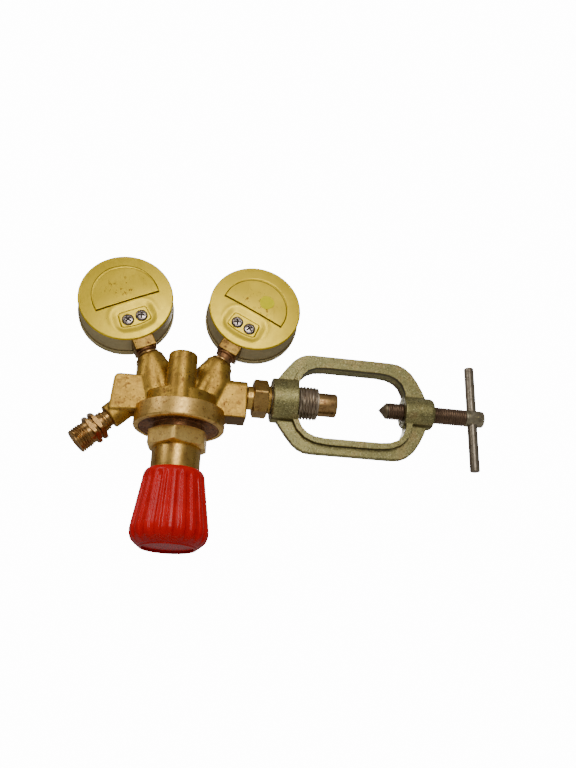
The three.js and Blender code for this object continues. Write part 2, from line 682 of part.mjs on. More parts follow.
function sectorGear() {
  const swing = THREE.MathUtils.degToRad(sector.swing);
  const margin = THREE.MathUtils.degToRad(4);
  const at = (radius, angle) => [radius * Math.cos(angle), radius * Math.sin(angle)];
  const outline = new THREE.Shape();
  outline.moveTo(...at(1.9, toPinion + Math.PI / 2 + 0.4));
  outline.lineTo(...at(sector.tail + 1.2, toPinion + Math.PI - 0.2));
  outline.lineTo(...at(sector.tail + 1.2, toPinion + Math.PI + 0.2));
  outline.lineTo(...at(1.9, toPinion - Math.PI / 2));
  outline.lineTo(...at(sector.reach, toPinion - margin));
  outline.absarc(0, 0, sector.reach, toPinion - margin, toPinion + swing + margin);
  const pin = rodY(0.5, 2.6, sector.y0 + 0.2, 8);
  return join(
    plate(outline, sector.y0, sector.y1, 5).translate([sector.x, 0, sector.z]),
    rodY(1, -0.6, 6.4, 8).translate([sector.x, 0, sector.z]),
    pin.translate([tailPin.x, 0, tailPin.z]),
  );
}

function tubeLink() {
  const [dx, dz] = [tailPin.x - tubeTip.x, tailPin.z - tubeTip.z];
  const length = Math.hypot(dx, dz);
  const bar = cut(
    join(block([0, 2.8, -0.7], [length, 3.6, 0.7]), rodY(1.3, 2.8, 3.6, 8).translate([length, 0, 0])),
    rodY(0.5 + RUNNING, 2, 4, 8).translate([length, 0, 0]),
  );
  return bar.rotate([0, -THREE.MathUtils.radToDeg(Math.atan2(dz, dx)), 0])
    .translate([tubeTip.x, 0, tubeTip.z]);
}

function movementFrame() {
  const outline = roundedRectangle(-13, -5, 5, 9, 2);
  const back = plate(outline, 0.2, 1.2, 2);
  const front = plate(outline, 5.8, 6.6, 2);
  const posts = [[-11.3, -3.3], [3.3, 7.3]].map(([x, z]) => rodY(0.9, 0.6, 6.2, 8).translate([x, 0, z]));
  const holes = [
    rodY(1 + RUNNING, -1, 7, 8).translate([sector.x, 0, sector.z]),
    rodY(arbor.radius + RUNNING, -1, 8, 8),
  ];
  return cut(join(back, front, ...posts), ...holes);
}

function pointer() {
  const needle = polygon([[-0.35, 21], [0.35, 21], [1.1, 0], [0.9, -7], [-0.9, -7], [-1.1, 0]]);
  const blade = plate(needle, 9.3, 9.8).rotate([0, gauge.zeroMark, 0]);
  return cut(join(blade, rodY(2.4, 9.2, 10.4, SMALL_ROUND)), rodY(0.9, 8, 9.9, 8));
}

function addGauge(side) {
  const group = gaugeGroups[side];
  const name = (piece) => `gauge_${side}_${piece}`;
  const { caseFront, front, bezelRadius, radius, neck } = gauge;
  const bossTop = gauge.bossTop + gauge.unscrewed[side];
  add(group, name('case'), gaugeCase(), material.goldPaint);
  add(group, name('bezel'), turnedY([
    [radius - 3, front - 0.8], [radius - 1, front - 0.8], [radius - 1, caseFront + GAP],
    [radius + GAP, caseFront + GAP], [radius + GAP, 8.6], [bezelRadius, 8.6],
    [bezelRadius, front - 0.6], [bezelRadius - 0.6, front], [radius - 3, front],
  ]), material.goldPaint);
  add(group, name('window'), rodY(radius - 1.3, caseFront + GAP, front - 1.1), material.glass);
  add(group, name('dial'), cut(rodY(radius - 1.3, 7.4, 8.1), rodY(1.6, 7, 9, 8)), material.dialWhite);
  add(group, name('pointer'), pointer(), material.black);
  const arborSolid = join(rodY(arbor.radius, -0.6, 9.5, 8), rodY(arbor.gear, 3.7, 5.1, 12));
  add(group, name('arbor'), arborSolid, material.brightBrass);
  add(group, name('sector'), sectorGear(), material.brightBrass);
  add(group, name('movement'), movementFrame(), material.brightBrass);
  add(group, name('bourdon_tube'), bourdonTube(), material.bronze);
  add(group, name('link'), tubeLink(), material.brightSteel);
  add(group, name('socket'), gaugeSocket(bossTop), material.brightBrass);
  add(group, name('screw_left'), gaugeScrew(-1), material.brightSteel);
  add(group, name('screw_right'), gaugeScrew(1), material.brightSteel);
  add(group, name('washer'), turned([
    [neck + GAP, -bossTop + GAP], [6.9, -bossTop + GAP], [6.9, -bossTop + 1.5], [neck + GAP, -bossTop + 1.5],
  ], MEDIUM_ROUND), material.redBrass);
}

addGauge('left');
addGauge('right');

export default root;
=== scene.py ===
# Looks for a gas cylinder pressure regulator with two gauges, a red knob and a yoke clamp.
# Shapes are given in millimetres in the regulator's own axes: the spring axis is Z, the inlet axis
# is X, and the gauges' backs face -Y. Meshes are made in metres in the row frame.

import math

import bmesh
import bpy
import numpy as np
from mathutils import Matrix, Vector


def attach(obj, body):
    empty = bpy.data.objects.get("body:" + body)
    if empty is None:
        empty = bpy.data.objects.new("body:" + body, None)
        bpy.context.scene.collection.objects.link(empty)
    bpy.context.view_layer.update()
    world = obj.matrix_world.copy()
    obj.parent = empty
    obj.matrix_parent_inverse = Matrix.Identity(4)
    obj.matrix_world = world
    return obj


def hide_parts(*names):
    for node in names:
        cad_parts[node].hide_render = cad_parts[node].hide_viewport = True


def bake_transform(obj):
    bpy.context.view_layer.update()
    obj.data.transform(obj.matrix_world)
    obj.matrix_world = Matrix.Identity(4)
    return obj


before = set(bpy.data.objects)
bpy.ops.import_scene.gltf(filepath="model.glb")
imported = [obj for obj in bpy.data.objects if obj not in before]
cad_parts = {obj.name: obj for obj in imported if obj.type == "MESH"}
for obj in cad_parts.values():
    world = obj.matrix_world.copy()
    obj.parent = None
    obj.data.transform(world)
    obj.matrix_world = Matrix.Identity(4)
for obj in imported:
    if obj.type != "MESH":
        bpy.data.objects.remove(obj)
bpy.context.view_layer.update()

MM = 0.001
NOZZLE_END = 96.8
ROW = Matrix.Scale(MM, 4) @ Matrix.Translation((-NOZZLE_END, 0, 0))
TO_X = Matrix.Rotation(math.pi / 2, 4, "Y")
TO_Y = Matrix.Rotation(-math.pi / 2, 4, "X")
IDENTITY = Matrix.Identity(4)
MAIN = "regulator"
SIGN = {"left": -1, "right": 1}

# Gauges: where they stand, how far each is turned up its thread, and what lies on their backs and dials.
GAUGE_X, GAUGE_Z, GAUGE_TILT = 40.9, 58.4, 26.5
UNSCREWED = {"left": -1.4, "right": 1.35}
BOSS_TOP = 41.1
BACK_Y, BACK_RIM_Y = -9.0, -6.6
PANEL_RADIUS, PANEL_CHORD = 20.8, 3.3
PLATE_Z, SCREW_Z, SCREW_X = -15.4, -15.8, 4.4
HEAD_RADIUS = 3.45
DIAL_Y = 8.12
HALF_SWEEP = 132.5


# -------- mesh helpers


def ring(radius, height, count=96, turn=0.0):
    """A level circle about Z, or one point where the radius is nil. radius may be an array."""
    if np.ndim(radius) == 0 and radius < 1e-6:
        return np.array([[0.0, 0.0, float(np.mean(height))]])
    angle = turn + np.arange(count) * 2 * math.pi / count
    flat = np.ones(count)
    return np.stack([radius * np.cos(angle), radius * np.sin(angle), height * flat], axis=1)


def skin(rings, loop=False):
    """Faces between neighbouring rings. With loop, the last ring joins the first."""
    verts = np.concatenate(rings)
    starts = np.cumsum([0] + [len(r) for r in rings])
    pairs = [(k, k + 1) for k in range(len(rings) - 1)]
    if loop:
        pairs.append((len(rings) - 1, 0))
    faces = []
    for a, b in pairs:
        size_a, size_b = len(rings[a]), len(rings[b])
        count = max(size_a, size_b)
        for i in range(count):
            j = (i + 1) % count
            low = [starts[a] + i, starts[a] + j] if size_a > 1 else [starts[a]]
            high = [starts[b] + j, starts[b] + i] if size_b > 1 else [starts[b]]
            if len(low) + len(high) > 2:
                faces.append(tuple(int(v) for v in low + high))
    return verts, faces


def soften(profile, size=0.3, steps=3):
    """Rounds the corners of a [radius, height] profile. Points on the axis stay."""
    made = []
    count = len(profile)
    closed = profile[0][0] > 1e-6
    for k, point in enumerate(profile):
        here = np.array(point[:2], float)
        limit = point[2] if len(point) > 2 else size
        end = not closed and k in (0, count - 1)
        if end or limit <= 0:
            made.append(tuple(here))
            continue
        before = np.array(profile[k - 1][:2], float) - here
        after = np.array(profile[(k + 1) % count][:2], float) - here
        reach = min(limit, 0.45 * np.linalg.norm(before), 0.45 * np.linalg.norm(after))
        start = here + before / np.linalg.norm(before) * reach
        stop = here + after / np.linalg.norm(after) * reach
        for t in np.linspace(0, 1, steps + 1):
            made.append(tuple((1 - t) ** 2 * start + 2 * t * (1 - t) * here + t**2 * stop))
    return made


def turned(profile, size=0.3, count=96, steps=3):
    """A solid of revolution about Z. A profile that starts off the axis closes on itself."""
    points = soften(profile, size, steps)
    return skin([ring(r, z, count) for r, z in points], loop=profile[0][0] > 1e-6)


def hexagon_rings(flats, low, high, turn, count=120):
    """Rings of a hexagon bar whose corners are turned off at both ends."""
    angle = np.arange(count) * 2 * math.pi / count
    to_flat = (angle + math.pi / 6) % (math.pi / 3) - math.pi / 6
    reach = flats / 2 / np.cos(math.pi / 6 - np.abs(to_flat))
    reach = np.minimum(reach, flats / math.sqrt(3) - 0.22)
    face = flats / 2 - 0.2
    rise = (reach - face) * 0.5
    return [
        ring(face, low, count, turn),
        ring(reach, low + rise, count, turn),
        ring(reach, low + rise + 0.15, count, turn),
        ring(reach, high - rise - 0.15, count, turn),
        ring(reach, high - rise, count, turn),
        ring(face, high, count, turn),
    ]


def thread_rings(radius, depth, pitch, low, high, count=64, per_turn=8, crest=0.25):
    """Rings of a screw thread about Z, fading out at both ends."""
    steps = int((high - low) / pitch * per_turn)
    angle = np.arange(count) / count
    made = []
    for k in range(steps + 1):
        height = low + (high - low) * k / steps
        phase = (height / pitch - angle) % 1.0
        tooth = np.clip(np.abs(phase - 0.5) * 2, crest, 1 - crest)
        tooth = (tooth - crest) / (1 - 2 * crest)
        fade = max(0.0, min(1.0, (height - low) / pitch, (high - height) / pitch))
        made.append(ring(radius - depth * tooth * fade - depth * (1 - fade) * 0.5, height, count))
    return made


def prism(outline, low, high):
    """A closed outline in XZ given depth along Y, as rings joined by end caps."""
    points = np.array(outline, float)
    verts = np.concatenate([
        np.stack([points[:, 0], np.full(len(points), low), points[:, 1]], axis=1),
        np.stack([points[:, 0], np.full(len(points), high), points[:, 1]], axis=1),
    ])
    count = len(points)
    faces = [(i, (i + 1) % count, count + (i + 1) % count, count + i) for i in range(count)]
    faces.append(tuple(range(count)))
    faces.append(tuple(range(2 * count - 1, count - 1, -1)))
    return verts, faces


def hull(parts):
    """The tightest convex skin round several parts."""
    work = bmesh.new()
    for verts, _ in parts:
        for vert in verts:
            work.verts.new(vert)
    made = bmesh.ops.convex_hull(work, input=work.verts)
    bmesh.ops.delete(work, geom=[v for v in made["geom_interior"] if v.is_valid], context="VERTS")
    work.verts.index_update()
    verts = np.array([tuple(v.co) for v in work.verts])
    faces = [tuple(v.index for v in face.verts) for face in work.faces]
    work.free()
    return verts, faces


def rounded(outline, size):
    """An outline with its corners rounded; a point may carry its own radius as a third number."""
    closed = [(x + 1000, z, *rest) for x, z, *rest in outline]
    return [(x - 1000, z) for x, z in soften(closed, size, 5)]


def added(name, data):
    """A new object in the scene."""
    obj = bpy.data.objects.new(name, data)
    bpy.context.scene.collection.objects.link(obj)
    return obj


def mesh_of(name, parts, place=IDENTITY):
    """One mesh from several (verts, faces) parts, turned so that the faces look outwards."""
    verts, faces, start = [], [], 0
    for part_verts, part_faces in parts:
        verts.append(part_verts)
        faces += [tuple(v + start for v in face) for face in part_faces]
        start += len(part_verts)
    mesh = bpy.data.meshes.new(name)
    mesh.from_pydata(np.concatenate(verts).tolist(), [], faces)
    mesh.transform(ROW @ place)
    work = bmesh.new()
    work.from_mesh(mesh)
    bmesh.ops.recalc_face_normals(work, faces=work.faces)
    work.to_mesh(mesh)
    work.free()
    return mesh


def finish_piece(obj, material, body, nodes, smooth):
    """Shades a piece, gives it its material and ties it to its body and CAD nodes."""
    mesh = obj.data
    mesh.shade_smooth()
    mesh.set_sharp_from_angle(angle=math.radians(smooth))
    mesh.materials.clear()
    mesh.materials.append(material)
    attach(obj, body)
    if nodes:
        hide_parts(*nodes)
    return obj


def piece(name, parts, material, nodes=(), body=MAIN, place=IDENTITY, smooth=32):
    """One visible piece made of closed parts, in place of the CAD nodes it names."""
    obj = added(name, mesh_of(name, parts, place))
    return finish_piece(obj, material, body, nodes, smooth)


def cast_piece(name, parts, cutters, voxel, smoothing, material, nodes, body=MAIN):
    """Overlapping solids grown into one casting with soft inside corners, then bored out."""
    obj = added(name, mesh_of(name, parts))
    grow = obj.modifiers.new("grow", "REMESH")
    grow.mode = "VOXEL"
    grow.voxel_size = voxel * MM
    ease = obj.modifiers.new("ease", "SMOOTH")
    ease.factor = 0.5
    ease.iterations = smoothing
    tools = []
    for k, cutter in enumerate(cutters):
        tool = added(f"{name}_cutter_{k}", mesh_of(f"{name}_cutter_{k}", [cutter]))
        bore = obj.modifiers.new("bore", "BOOLEAN")
        bore.operation = "DIFFERENCE"
        bore.solver = "MANIFOLD"
        bore.object = tool
        tools.append(tool)
    graph = bpy.context.evaluated_depsgraph_get()
    made = bpy.data.meshes.new_from_object(obj.evaluated_get(graph))
    obj.modifiers.clear()
    obj.data = made
    for tool in tools:
        bpy.data.objects.remove(tool)
    return finish_piece(obj, material, body, nodes, 40)


# -------- materials


class Look:
    """A Principled material built node by node from procedural patterns in object space."""

    def __init__(self, name, metallic, roughness, **sockets):
        self.material = bpy.data.materials.new(name)
        self.material.use_nodes = True
        self.nodes = self.material.node_tree.nodes
        self.links = self.material.node_tree.links
        self.shader = self.nodes["Principled BSDF"]
        self.shader.inputs["Metallic"].default_value = metallic
        self.shader.inputs["Roughness"].default_value = roughness
        for socket, value in sockets.items():
            self.shader.inputs[socket.replace("_", " ")].default_value = value
        self.place = self.node("TexCoord").outputs["Object"]
        self.height = None

    def node(self, kind, **values):
        """A new node with constants on its inputs."""
        node = self.nodes.new("ShaderNode" + kind)
        for socket, value in values.items():
            node.inputs[socket.replace("_", " ")].default_value = value
        return node

    def stretched(self, scale):
        mapping = self.node("Mapping", Scale=scale)
        self.links.new(self.place, mapping.inputs["Vector"])
        return mapping.outputs["Vector"]

    def noise(self, size, detail=3.0, rough=0.55, stretch=None):
        """Cloudy noise whose features are about size millimetres."""
        node = self.node("TexNoise", Scale=1.0 / (size * MM), Detail=detail, Roughness=rough)
        self.links.new(self.stretched(stretch) if stretch else self.place, node.inputs["Vector"])
        return node.outputs["Fac"]

    def cells(self, size):
        node = self.node("TexVoronoi", Scale=1.0 / (size * MM))
        self.links.new(self.place, node.inputs["Vector"])
        return node.outputs["Distance"]

    def ramp(self, value, low, high, start=0.0, stop=1.0):
        node = self.node("MapRange", From_Min=low, From_Max=high, To_Min=start, To_Max=stop)
        self.links.new(value, node.inputs["Value"])
        return node.outputs["Result"]

    def maths(self, operation, first, second):
        node = self.node("Math")
        node.operation = operation
        for socket, value in zip(node.inputs, (first, second)):
            if isinstance(value, (int, float)):
                socket.default_value = value
            else:
                self.links.new(value, socket)
        return node.outputs["Value"]

    def mix(self, share, first, second):
        node = self.node("Mix")
        node.data_type = "RGBA"
        self.links.new(share, node.inputs["Factor"])
        for socket, value in ((node.inputs[6], first), (node.inputs[7], second)):
            if isinstance(value, tuple):
                socket.default_value = (*value, 1.0)
            else:
                self.links.new(value, socket)
        return node.outputs[2]

    def vector(self, operation, first, second, result="Vector"):
        node = self.node("VectorMath")
        node.operation = operation
        self.links.new(first, node.inputs[0])
        if second is not None:
            node.inputs[1].default_value = second
        return node.outputs[result]

    def beyond(self, axis, low, high):
        """A share that rises from 0 to 1 between two places, in millimetres, along a row frame axis."""
        split = self.node("SeparateXYZ")
        self.links.new(self.place, split.inputs["Vector"])
        return self.ramp(split.outputs[axis], low * MM, high * MM)

    def times(self, first, second):
        return self.maths("MULTIPLY", first, second)

    def clouded(self, size, detail, first, second, low=0.3, high=0.7, **more):
        """Two colours mixed by clouds."""
        return self.mix(self.ramp(self.noise(size, detail, **more), low, high), first, second)

    def colour(self, value):
        self.links.new(value, self.shader.inputs["Base Color"])

    def mottled(self, size, detail, low, high):
        """Roughness that wanders between two values."""
        value = self.ramp(self.noise(size, detail), 0.3, 0.7, low, high)
        self.links.new(value, self.shader.inputs["Roughness"])

    def relief(self, value, distance, strength=1.0):
        """Bumps of a height in millimetres, added to the ones before."""
        node = self.node("Bump", Strength=strength, Distance=distance * MM)
        self.links.new(value, node.inputs["Height"])
        if self.height:
            self.links.new(self.height, node.inputs["Normal"])
        self.height = node.outputs["Normal"]
        self.links.new(self.height, self.shader.inputs["Normal"])


GOLD = ((0.84, 0.59, 0.034), (0.72, 0.50, 0.026))


def brass(name, light, dark, stain, roughness, grain, pits=0.0, metallic=1.0, brushed=None, painted_shade=()):
    """Tarnished brass: cloudy colour, brown stains, dark pits and fine grain. painted_shade darkens given
    places with painted shade.
    """
    look = Look(name, metallic, 0.4)
    base = look.clouded(9.0, 4.0, light, dark, 0.35, 0.65)
    stains = look.ramp(look.noise(3.2, 5.0, 0.65), 0.53, 0.69)
    base = look.mix(stains, base, stain)
    if pits:
        holes = look.ramp(look.cells(1.7), 0.10, 0.20, 1.0, 0.0)
        chosen = look.ramp(look.noise(2.6, 1.0), 0.50, 0.56)
        holes = look.times(look.times(holes, chosen), pits)
        base = look.mix(holes, base, tuple(c * 0.25 for c in stain))
        look.relief(look.maths("SUBTRACT", 1.0, holes), 0.14, 0.8)
    # Painted shade: each entry darkens the colour where two place ramps overlap.
    for edge, side, shade_colour in painted_shade:
        share = look.times(look.beyond(*edge), look.beyond(*side))
        base = look.mix(look.times(share, 0.85), base, shade_colour)
    look.colour(base)
    look.mottled(1.6, 4.0, *roughness)
    look.relief(look.noise(0.5, 3.0), grain, 0.6)
    look.relief(look.noise(4.0, 2.0), grain * 2.5, 0.45)
    if brushed:
        look.relief(look.noise(1.0, 2.0, 0.6, brushed), 0.02, 0.5)
    return look.material


RIGHT_BLOCK = ("X", 20 - NOZZLE_END, 22 - NOZZLE_END)
OUTLET_SIDE = ("X", -41.0 - NOZZLE_END, -43.2 - NOZZLE_END)
cast_brass = brass("cast_brass", (0.58, 0.345, 0.058), (0.36, 0.20, 0.038), (0.22, 0.10, 0.025),
                   (0.36, 0.50), 0.10, 1.0,
                   # Painted shade along the underside edge of the right block and under the left block by the
                   # outlet boss.
                   painted_shade=[(("Z", -15.4, -16.1), RIGHT_BLOCK, (0.13, 0.065, 0.02)),
                           (("Z", -17.2, -18.4), OUTLET_SIDE, (0.34, 0.17, 0.05))])
brown_brass = brass("brown_brass", (0.90, 0.56, 0.16), (0.64, 0.39, 0.10), (0.40, 0.20, 0.05),
                    (0.32, 0.48), 0.07, 0.7)
dull_brass = brass("dull_brass", (0.48, 0.29, 0.09), (0.33, 0.195, 0.055), (0.20, 0.09, 0.03),
                   (0.28, 0.42), 0.04, 0.4)
machined_brass = brass("machined_brass", (0.66, 0.41, 0.105), (0.50, 0.29, 0.07), (0.34, 0.17, 0.045),
                       (0.26, 0.40), 0.03, 0.2, brushed=(1, 1, 14))
hexagon_brass = brass("hexagon_brass", (0.98, 0.66, 0.20), (0.80, 0.50, 0.14), (0.52, 0.28, 0.08),
                      (0.30, 0.44), 0.05, 0.5)
red_brass = brass("red_brass", (0.48, 0.275, 0.09), (0.37, 0.205, 0.065), (0.24, 0.11, 0.035),
                  (0.26, 0.38), 0.02, 0.1)
nozzle_brass = brass("nozzle_brass", (0.44, 0.265, 0.10), (0.29, 0.165, 0.06), (0.17, 0.075, 0.03),
                     (0.26, 0.40), 0.03, 0.25)
# A darker copy of pale_brass, used for the right gauge's stem.
right_stem_brass = brass("right_stem_brass", (0.30, 0.18, 0.036), (0.22, 0.12, 0.028), (0.07, 0.032, 0.012),
                     (0.28, 0.42), 0.06, 1.0)
pale_brass = brass("pale_brass", (0.38, 0.225, 0.046), (0.28, 0.155, 0.034), (0.13, 0.055, 0.016),
                   (0.28, 0.42), 0.05, 1.0)
dark_brass = brass("dark_brass", (0.36, 0.17, 0.065), (0.22, 0.09, 0.035), (0.09, 0.045, 0.02),
                   (0.4, 0.6), 0.05, 0.3, 0.85)
clean_brass = brass("clean_brass", (0.72, 0.50, 0.20), (0.62, 0.40, 0.14), (0.45, 0.26, 0.09),
                    (0.22, 0.34), 0.01, metallic=0.85)


def gold_paint(side):
    """Gold paint on a gauge's back, with painted shade in the panel's outline and rubbed marks inside the
    panel.
    """
    look = Look(f"gold_paint_{side}", 0.85, 0.40)
    sign = SIGN[side]
    turn = math.radians(GAUGE_TILT)
    centre = ((GAUGE_X * sign - NOZZLE_END) * MM, 0, GAUGE_Z * MM)
    flat = look.vector("MULTIPLY", look.vector("SUBTRACT", look.place, centre), (1000, 0, 1000))
    reach = look.vector("LENGTH", flat, None, "Value")
    rise = look.vector("DOT_PRODUCT", flat, (sign * math.sin(turn), 0, math.cos(turn)), "Value")
    from_chord = look.maths("ABSOLUTE", look.maths("ADD", rise, PANEL_CHORD - UNSCREWED[side]), 0.0)
    from_arc = look.maths("ABSOLUTE", look.maths("SUBTRACT", reach, PANEL_RADIUS), 0.0)
    chord = look.times(look.ramp(from_chord, 0.22, 0.52, 1.0, 0.0), look.ramp(reach, 21.0, 21.4, 1.0, 0.0))
    arc = look.times(look.ramp(from_arc, 0.10, 0.36, 0.85, 0.0), look.ramp(rise, -3.2, -2.8))
    base = look.clouded(16.0, 3.0, *GOLD)
    scribble = look.ramp(look.noise(1.8, 4.0, 0.62, (1, 1, 0.6)), 0.57, 0.61)
    patch = look.times(look.ramp(reach, 8.0, 17.0, 1.0, 0.0), look.ramp(rise, -2.0, 1.0))
    patch = look.times(patch, look.ramp(look.noise(9.0, 1.0), 0.46, 0.54))
    base = look.mix(look.times(scribble, patch), base, (0.26, 0.13, 0.01))
    specks = look.ramp(look.cells(2.2), 0.05, 0.11, 1.0, 0.0)
    chosen = look.ramp(look.noise(5.0, 1.0), 0.60, 0.64)
    base = look.mix(look.times(specks, chosen), base, (0.10, 0.05, 0.01))
    rubbed = look.ramp(look.noise(6.0, 4.0, 0.6, (1, 1, 0.35)), 0.60, 0.75)
    base = look.mix(look.times(rubbed, 0.35), base, (0.40, 0.25, 0.02))
    # Painted shade: the panel's chord and arc grooves are darkened to deep brown.
    base = look.mix(look.maths("MAXIMUM", chord, arc), base, (0.07, 0.035, 0.005))
    look.colour(base)
    look.mottled(3.5, 4.0, 0.34, 0.42)
    look.relief(look.noise(0.35, 2.0), 0.010, 0.4)
    look.relief(look.noise(11.0, 2.0), 0.10, 0.3)
    return look.material


def side_paint():
    look = Look("side_paint", 0.5, 0.5)
    look.colour(look.clouded(10.0, 3.0, (0.54, 0.43, 0.20), (0.45, 0.36, 0.165)))
    look.mottled(2.5, 4.0, 0.42, 0.58)
    look.relief(look.noise(0.4, 2.0), 0.012, 0.5)
    return look.material


def red_plastic():
    look = Look("red_plastic", 0.0, 0.25, Specular_IOR_Level=0.26)
    base = look.clouded(8.0, 3.0, (0.76, 0.001, 0.001), (0.60, 0.0005, 0.001))
    rubbed = look.ramp(look.noise(1.6, 5.0, 0.65, (1, 1, 0.25)), 0.62, 0.78)
    base = look.mix(look.times(rubbed, 0.22), base, (0.50, 0.04, 0.035))
    # Painted shade: the knob darkens towards its lower end.
    base = look.mix(look.times(look.beyond("Z", -86, -95), 0.8), base, (0.36, 0.001, 0.001))
    look.colour(base)
    look.mottled(2.5, 3.0, 0.22, 0.32)
    look.relief(look.noise(2.2, 2.0), 0.02, 0.25)
    return look.material


def zinc_plate():
    look = Look("zinc_plate", 0.9, 0.5)
    base = look.clouded(9.0, 5.0, (0.33, 0.285, 0.105), (0.24, 0.215, 0.085), 0.35, 0.65, rough=0.6)
    warm = look.ramp(look.noise(12.0, 2.0), 0.52, 0.68)
    base = look.mix(look.times(warm, 0.6), base, (0.36, 0.25, 0.10))
    stains = look.ramp(look.noise(1.1, 4.0, 0.7), 0.52, 0.64)
    base = look.mix(look.times(stains, 0.8), base, (0.10, 0.075, 0.025))
    bright = look.ramp(look.noise(0.8, 3.0, 0.6), 0.56, 0.66)
    base = look.mix(look.times(bright, 0.7), base, (0.68, 0.62, 0.30))
    # Painted shade on the rim band's inner walls and corners next to the web, on both faces of the yoke.
    for low, high in ((-2.3, -3.0), (2.3, 3.0)):
        wall = look.beyond("Y", low, high)
        edge = look.beyond("Y", high * 1.75, high * 1.5)
        base = look.mix(look.times(look.times(wall, edge), 0.75), base, (0.07, 0.045, 0.015))
    look.colour(base)
    look.mottled(0.8, 4.0, 0.30, 0.52)
    look.relief(look.noise(0.8, 4.0, 0.6), 0.22, 0.9)
    look.relief(look.noise(3.5, 2.0), 0.25, 0.4)
    return look.material


def steel(name, light, dark, roughness, relief=0.04, metallic=0.85, spots=None):
    """Bare or rusty steel: cloudy colour, and marks of another colour where spots is given."""
    look = Look(name, metallic, 0.4)
    base = look.clouded(3.5, 5.0, light, dark, 0.35, 0.65, rough=0.6)
    if spots:
        marks = look.ramp(look.noise(1.3, 4.0, 0.65), 0.58, 0.68)
        base = look.mix(marks, base, spots)
        look.relief(look.maths("SUBTRACT", 1.0, marks), 0.06, 0.6)
    look.colour(base)
    look.mottled(1.2, 4.0, *roughness)
    look.relief(look.noise(0.5, 3.0), relief, 0.6)
    return look.material


def plain(name, first, second, roughness, size=4.0, relief=0.01, metallic=0.0, **sockets):
    """Two close colours in soft clouds, with a fine grain."""
    look = Look(name, metallic, roughness, **sockets)
    look.colour(look.clouded(size, 3.0, first, second, 0.35, 0.65))
    look.relief(look.noise(size * 0.15, 2.0), relief, 0.5)
    return look.material


painted_gold = {side: gold_paint(side) for side in SIGN}
painted_side = side_paint()
red = red_plastic()
zinc = zinc_plate()
brown_steel = steel("brown_steel", (0.20, 0.125, 0.075), (0.13, 0.078, 0.048), (0.30, 0.44), 0.02)
point_steel = steel("point_steel", (0.34, 0.27, 0.16), (0.22, 0.165, 0.10), (0.28, 0.42), 0.03)
grey_steel = steel("grey_steel", (0.42, 0.335, 0.235), (0.28, 0.21, 0.14), (0.28, 0.42), 0.015)
head_steel = steel("head_steel", (0.36, 0.31, 0.21), (0.22, 0.18, 0.11), (0.28, 0.44), 0.04,
                   spots=(0.46, 0.38, 0.18))
bar_steel = steel("bar_steel", (0.30, 0.245, 0.175), (0.20, 0.16, 0.11), (0.28, 0.44), 0.03,
                  spots=(0.10, 0.07, 0.045))
screw_steel = steel("screw_steel", (0.52, 0.43, 0.38), (0.12, 0.09, 0.075), (0.14, 0.30), 0.04, 1.0)
# Near-black material for painted shade in the screw recesses and round the screw heads.
recess_dirt = plain("recess_dirt", (0.05, 0.028, 0.012), (0.03, 0.016, 0.008), 0.6, 1.0, 0.01, 0.2)
spring_steel = steel("spring_wire", (0.42, 0.42, 0.43), (0.30, 0.30, 0.31), (0.25, 0.4), 0.01, 0.95)
dial_white = plain("dial_white", (0.82, 0.81, 0.77), (0.78, 0.77, 0.73), 0.55, 6.0, 0.004)
dial_black = plain("dial_black", (0.012, 0.012, 0.012), (0.02, 0.02, 0.02), 0.5, 3.0, 0.002)
dial_red = plain("dial_red", (0.6, 0.02, 0.02), (0.5, 0.015, 0.015), 0.5, 3.0, 0.002)
black_paint = plain("black_paint", (0.012, 0.012, 0.012), (0.02, 0.02, 0.02), 0.3, 3.0, 0.004)
rubber = plain("rubber", (0.02, 0.02, 0.019), (0.035, 0.034, 0.032), 0.75, 2.0, 0.02)
nylon = plain("nylon", (0.75, 0.71, 0.60), (0.70, 0.66, 0.55), 0.4, 3.0, 0.006, Subsurface_Weight=0.1)
sticker = plain("sticker", (1.0, 0.86, 0.0), (0.94, 0.82, 0.0), 0.6, 2.0, 0.02, Specular_IOR_Level=0.0)
sintered = plain("sintered", (0.40, 0.24, 0.10), (0.28, 0.16, 0.07), 0.7, 0.5, 0.12, 0.7)
window_glass = Look("window_glass", 0.0, 0.03, Transmission_Weight=1.0, IOR=1.49)
window_glass.mottled(6.0, 4.0, 0.02, 0.06)


# -------- camera, light and floor


def turn_from(axes):
    right, up, back = (Vector(a) for a in axes)
    return Matrix((right, up, back)).transposed().to_quaternion()


camera = added("camera", bpy.data.cameras.new("camera"))
bpy.context.scene.camera = camera
camera.data.sensor_width = 36.0
camera.data.lens = 36.0
camera.data.clip_start = 0.01
camera.data.clip_end = 20.0
camera.location = ((-4.37 - NOZZLE_END) * MM, -0.44345, -0.17617)
camera.rotation_mode = "QUATERNION"
camera.rotation_quaternion = turn_from([
    (0.98488, -0.17000, 0.03319), (-0.09597, -0.37602, 0.92163), (-0.14420, -0.91088, -0.38665)])


def lamp(name, place, size, power):
    """A rectangular soft lamp that faces the object."""
    data = bpy.data.lights.new(name, "AREA")
    data.shape = "RECTANGLE"
    data.size, data.size_y = size
    data.energy = power
    obj = added(name, data)
    obj.location = place
    aim = Vector(LIT_PLACE) - Vector(place)
    obj.rotation_mode = "QUATERNION"
    obj.rotation_quaternion = aim.to_track_quat("-Z", "Y")


LIT_PLACE = (-0.05, 0.0, 0.0)
lamp("key", (-0.04, -0.97, 0.40), (0.36, 0.20), 2.4)
lamp("front", (-0.08, -0.95, 0.0), (0.30, 0.24), 1.9)
lamp("left", (-0.85, -0.45, 0.55), (0.36, 0.50), 1.8)
lamp("behind", (0.10, 1.0, 0.43), (0.26, 0.20), 2.6)

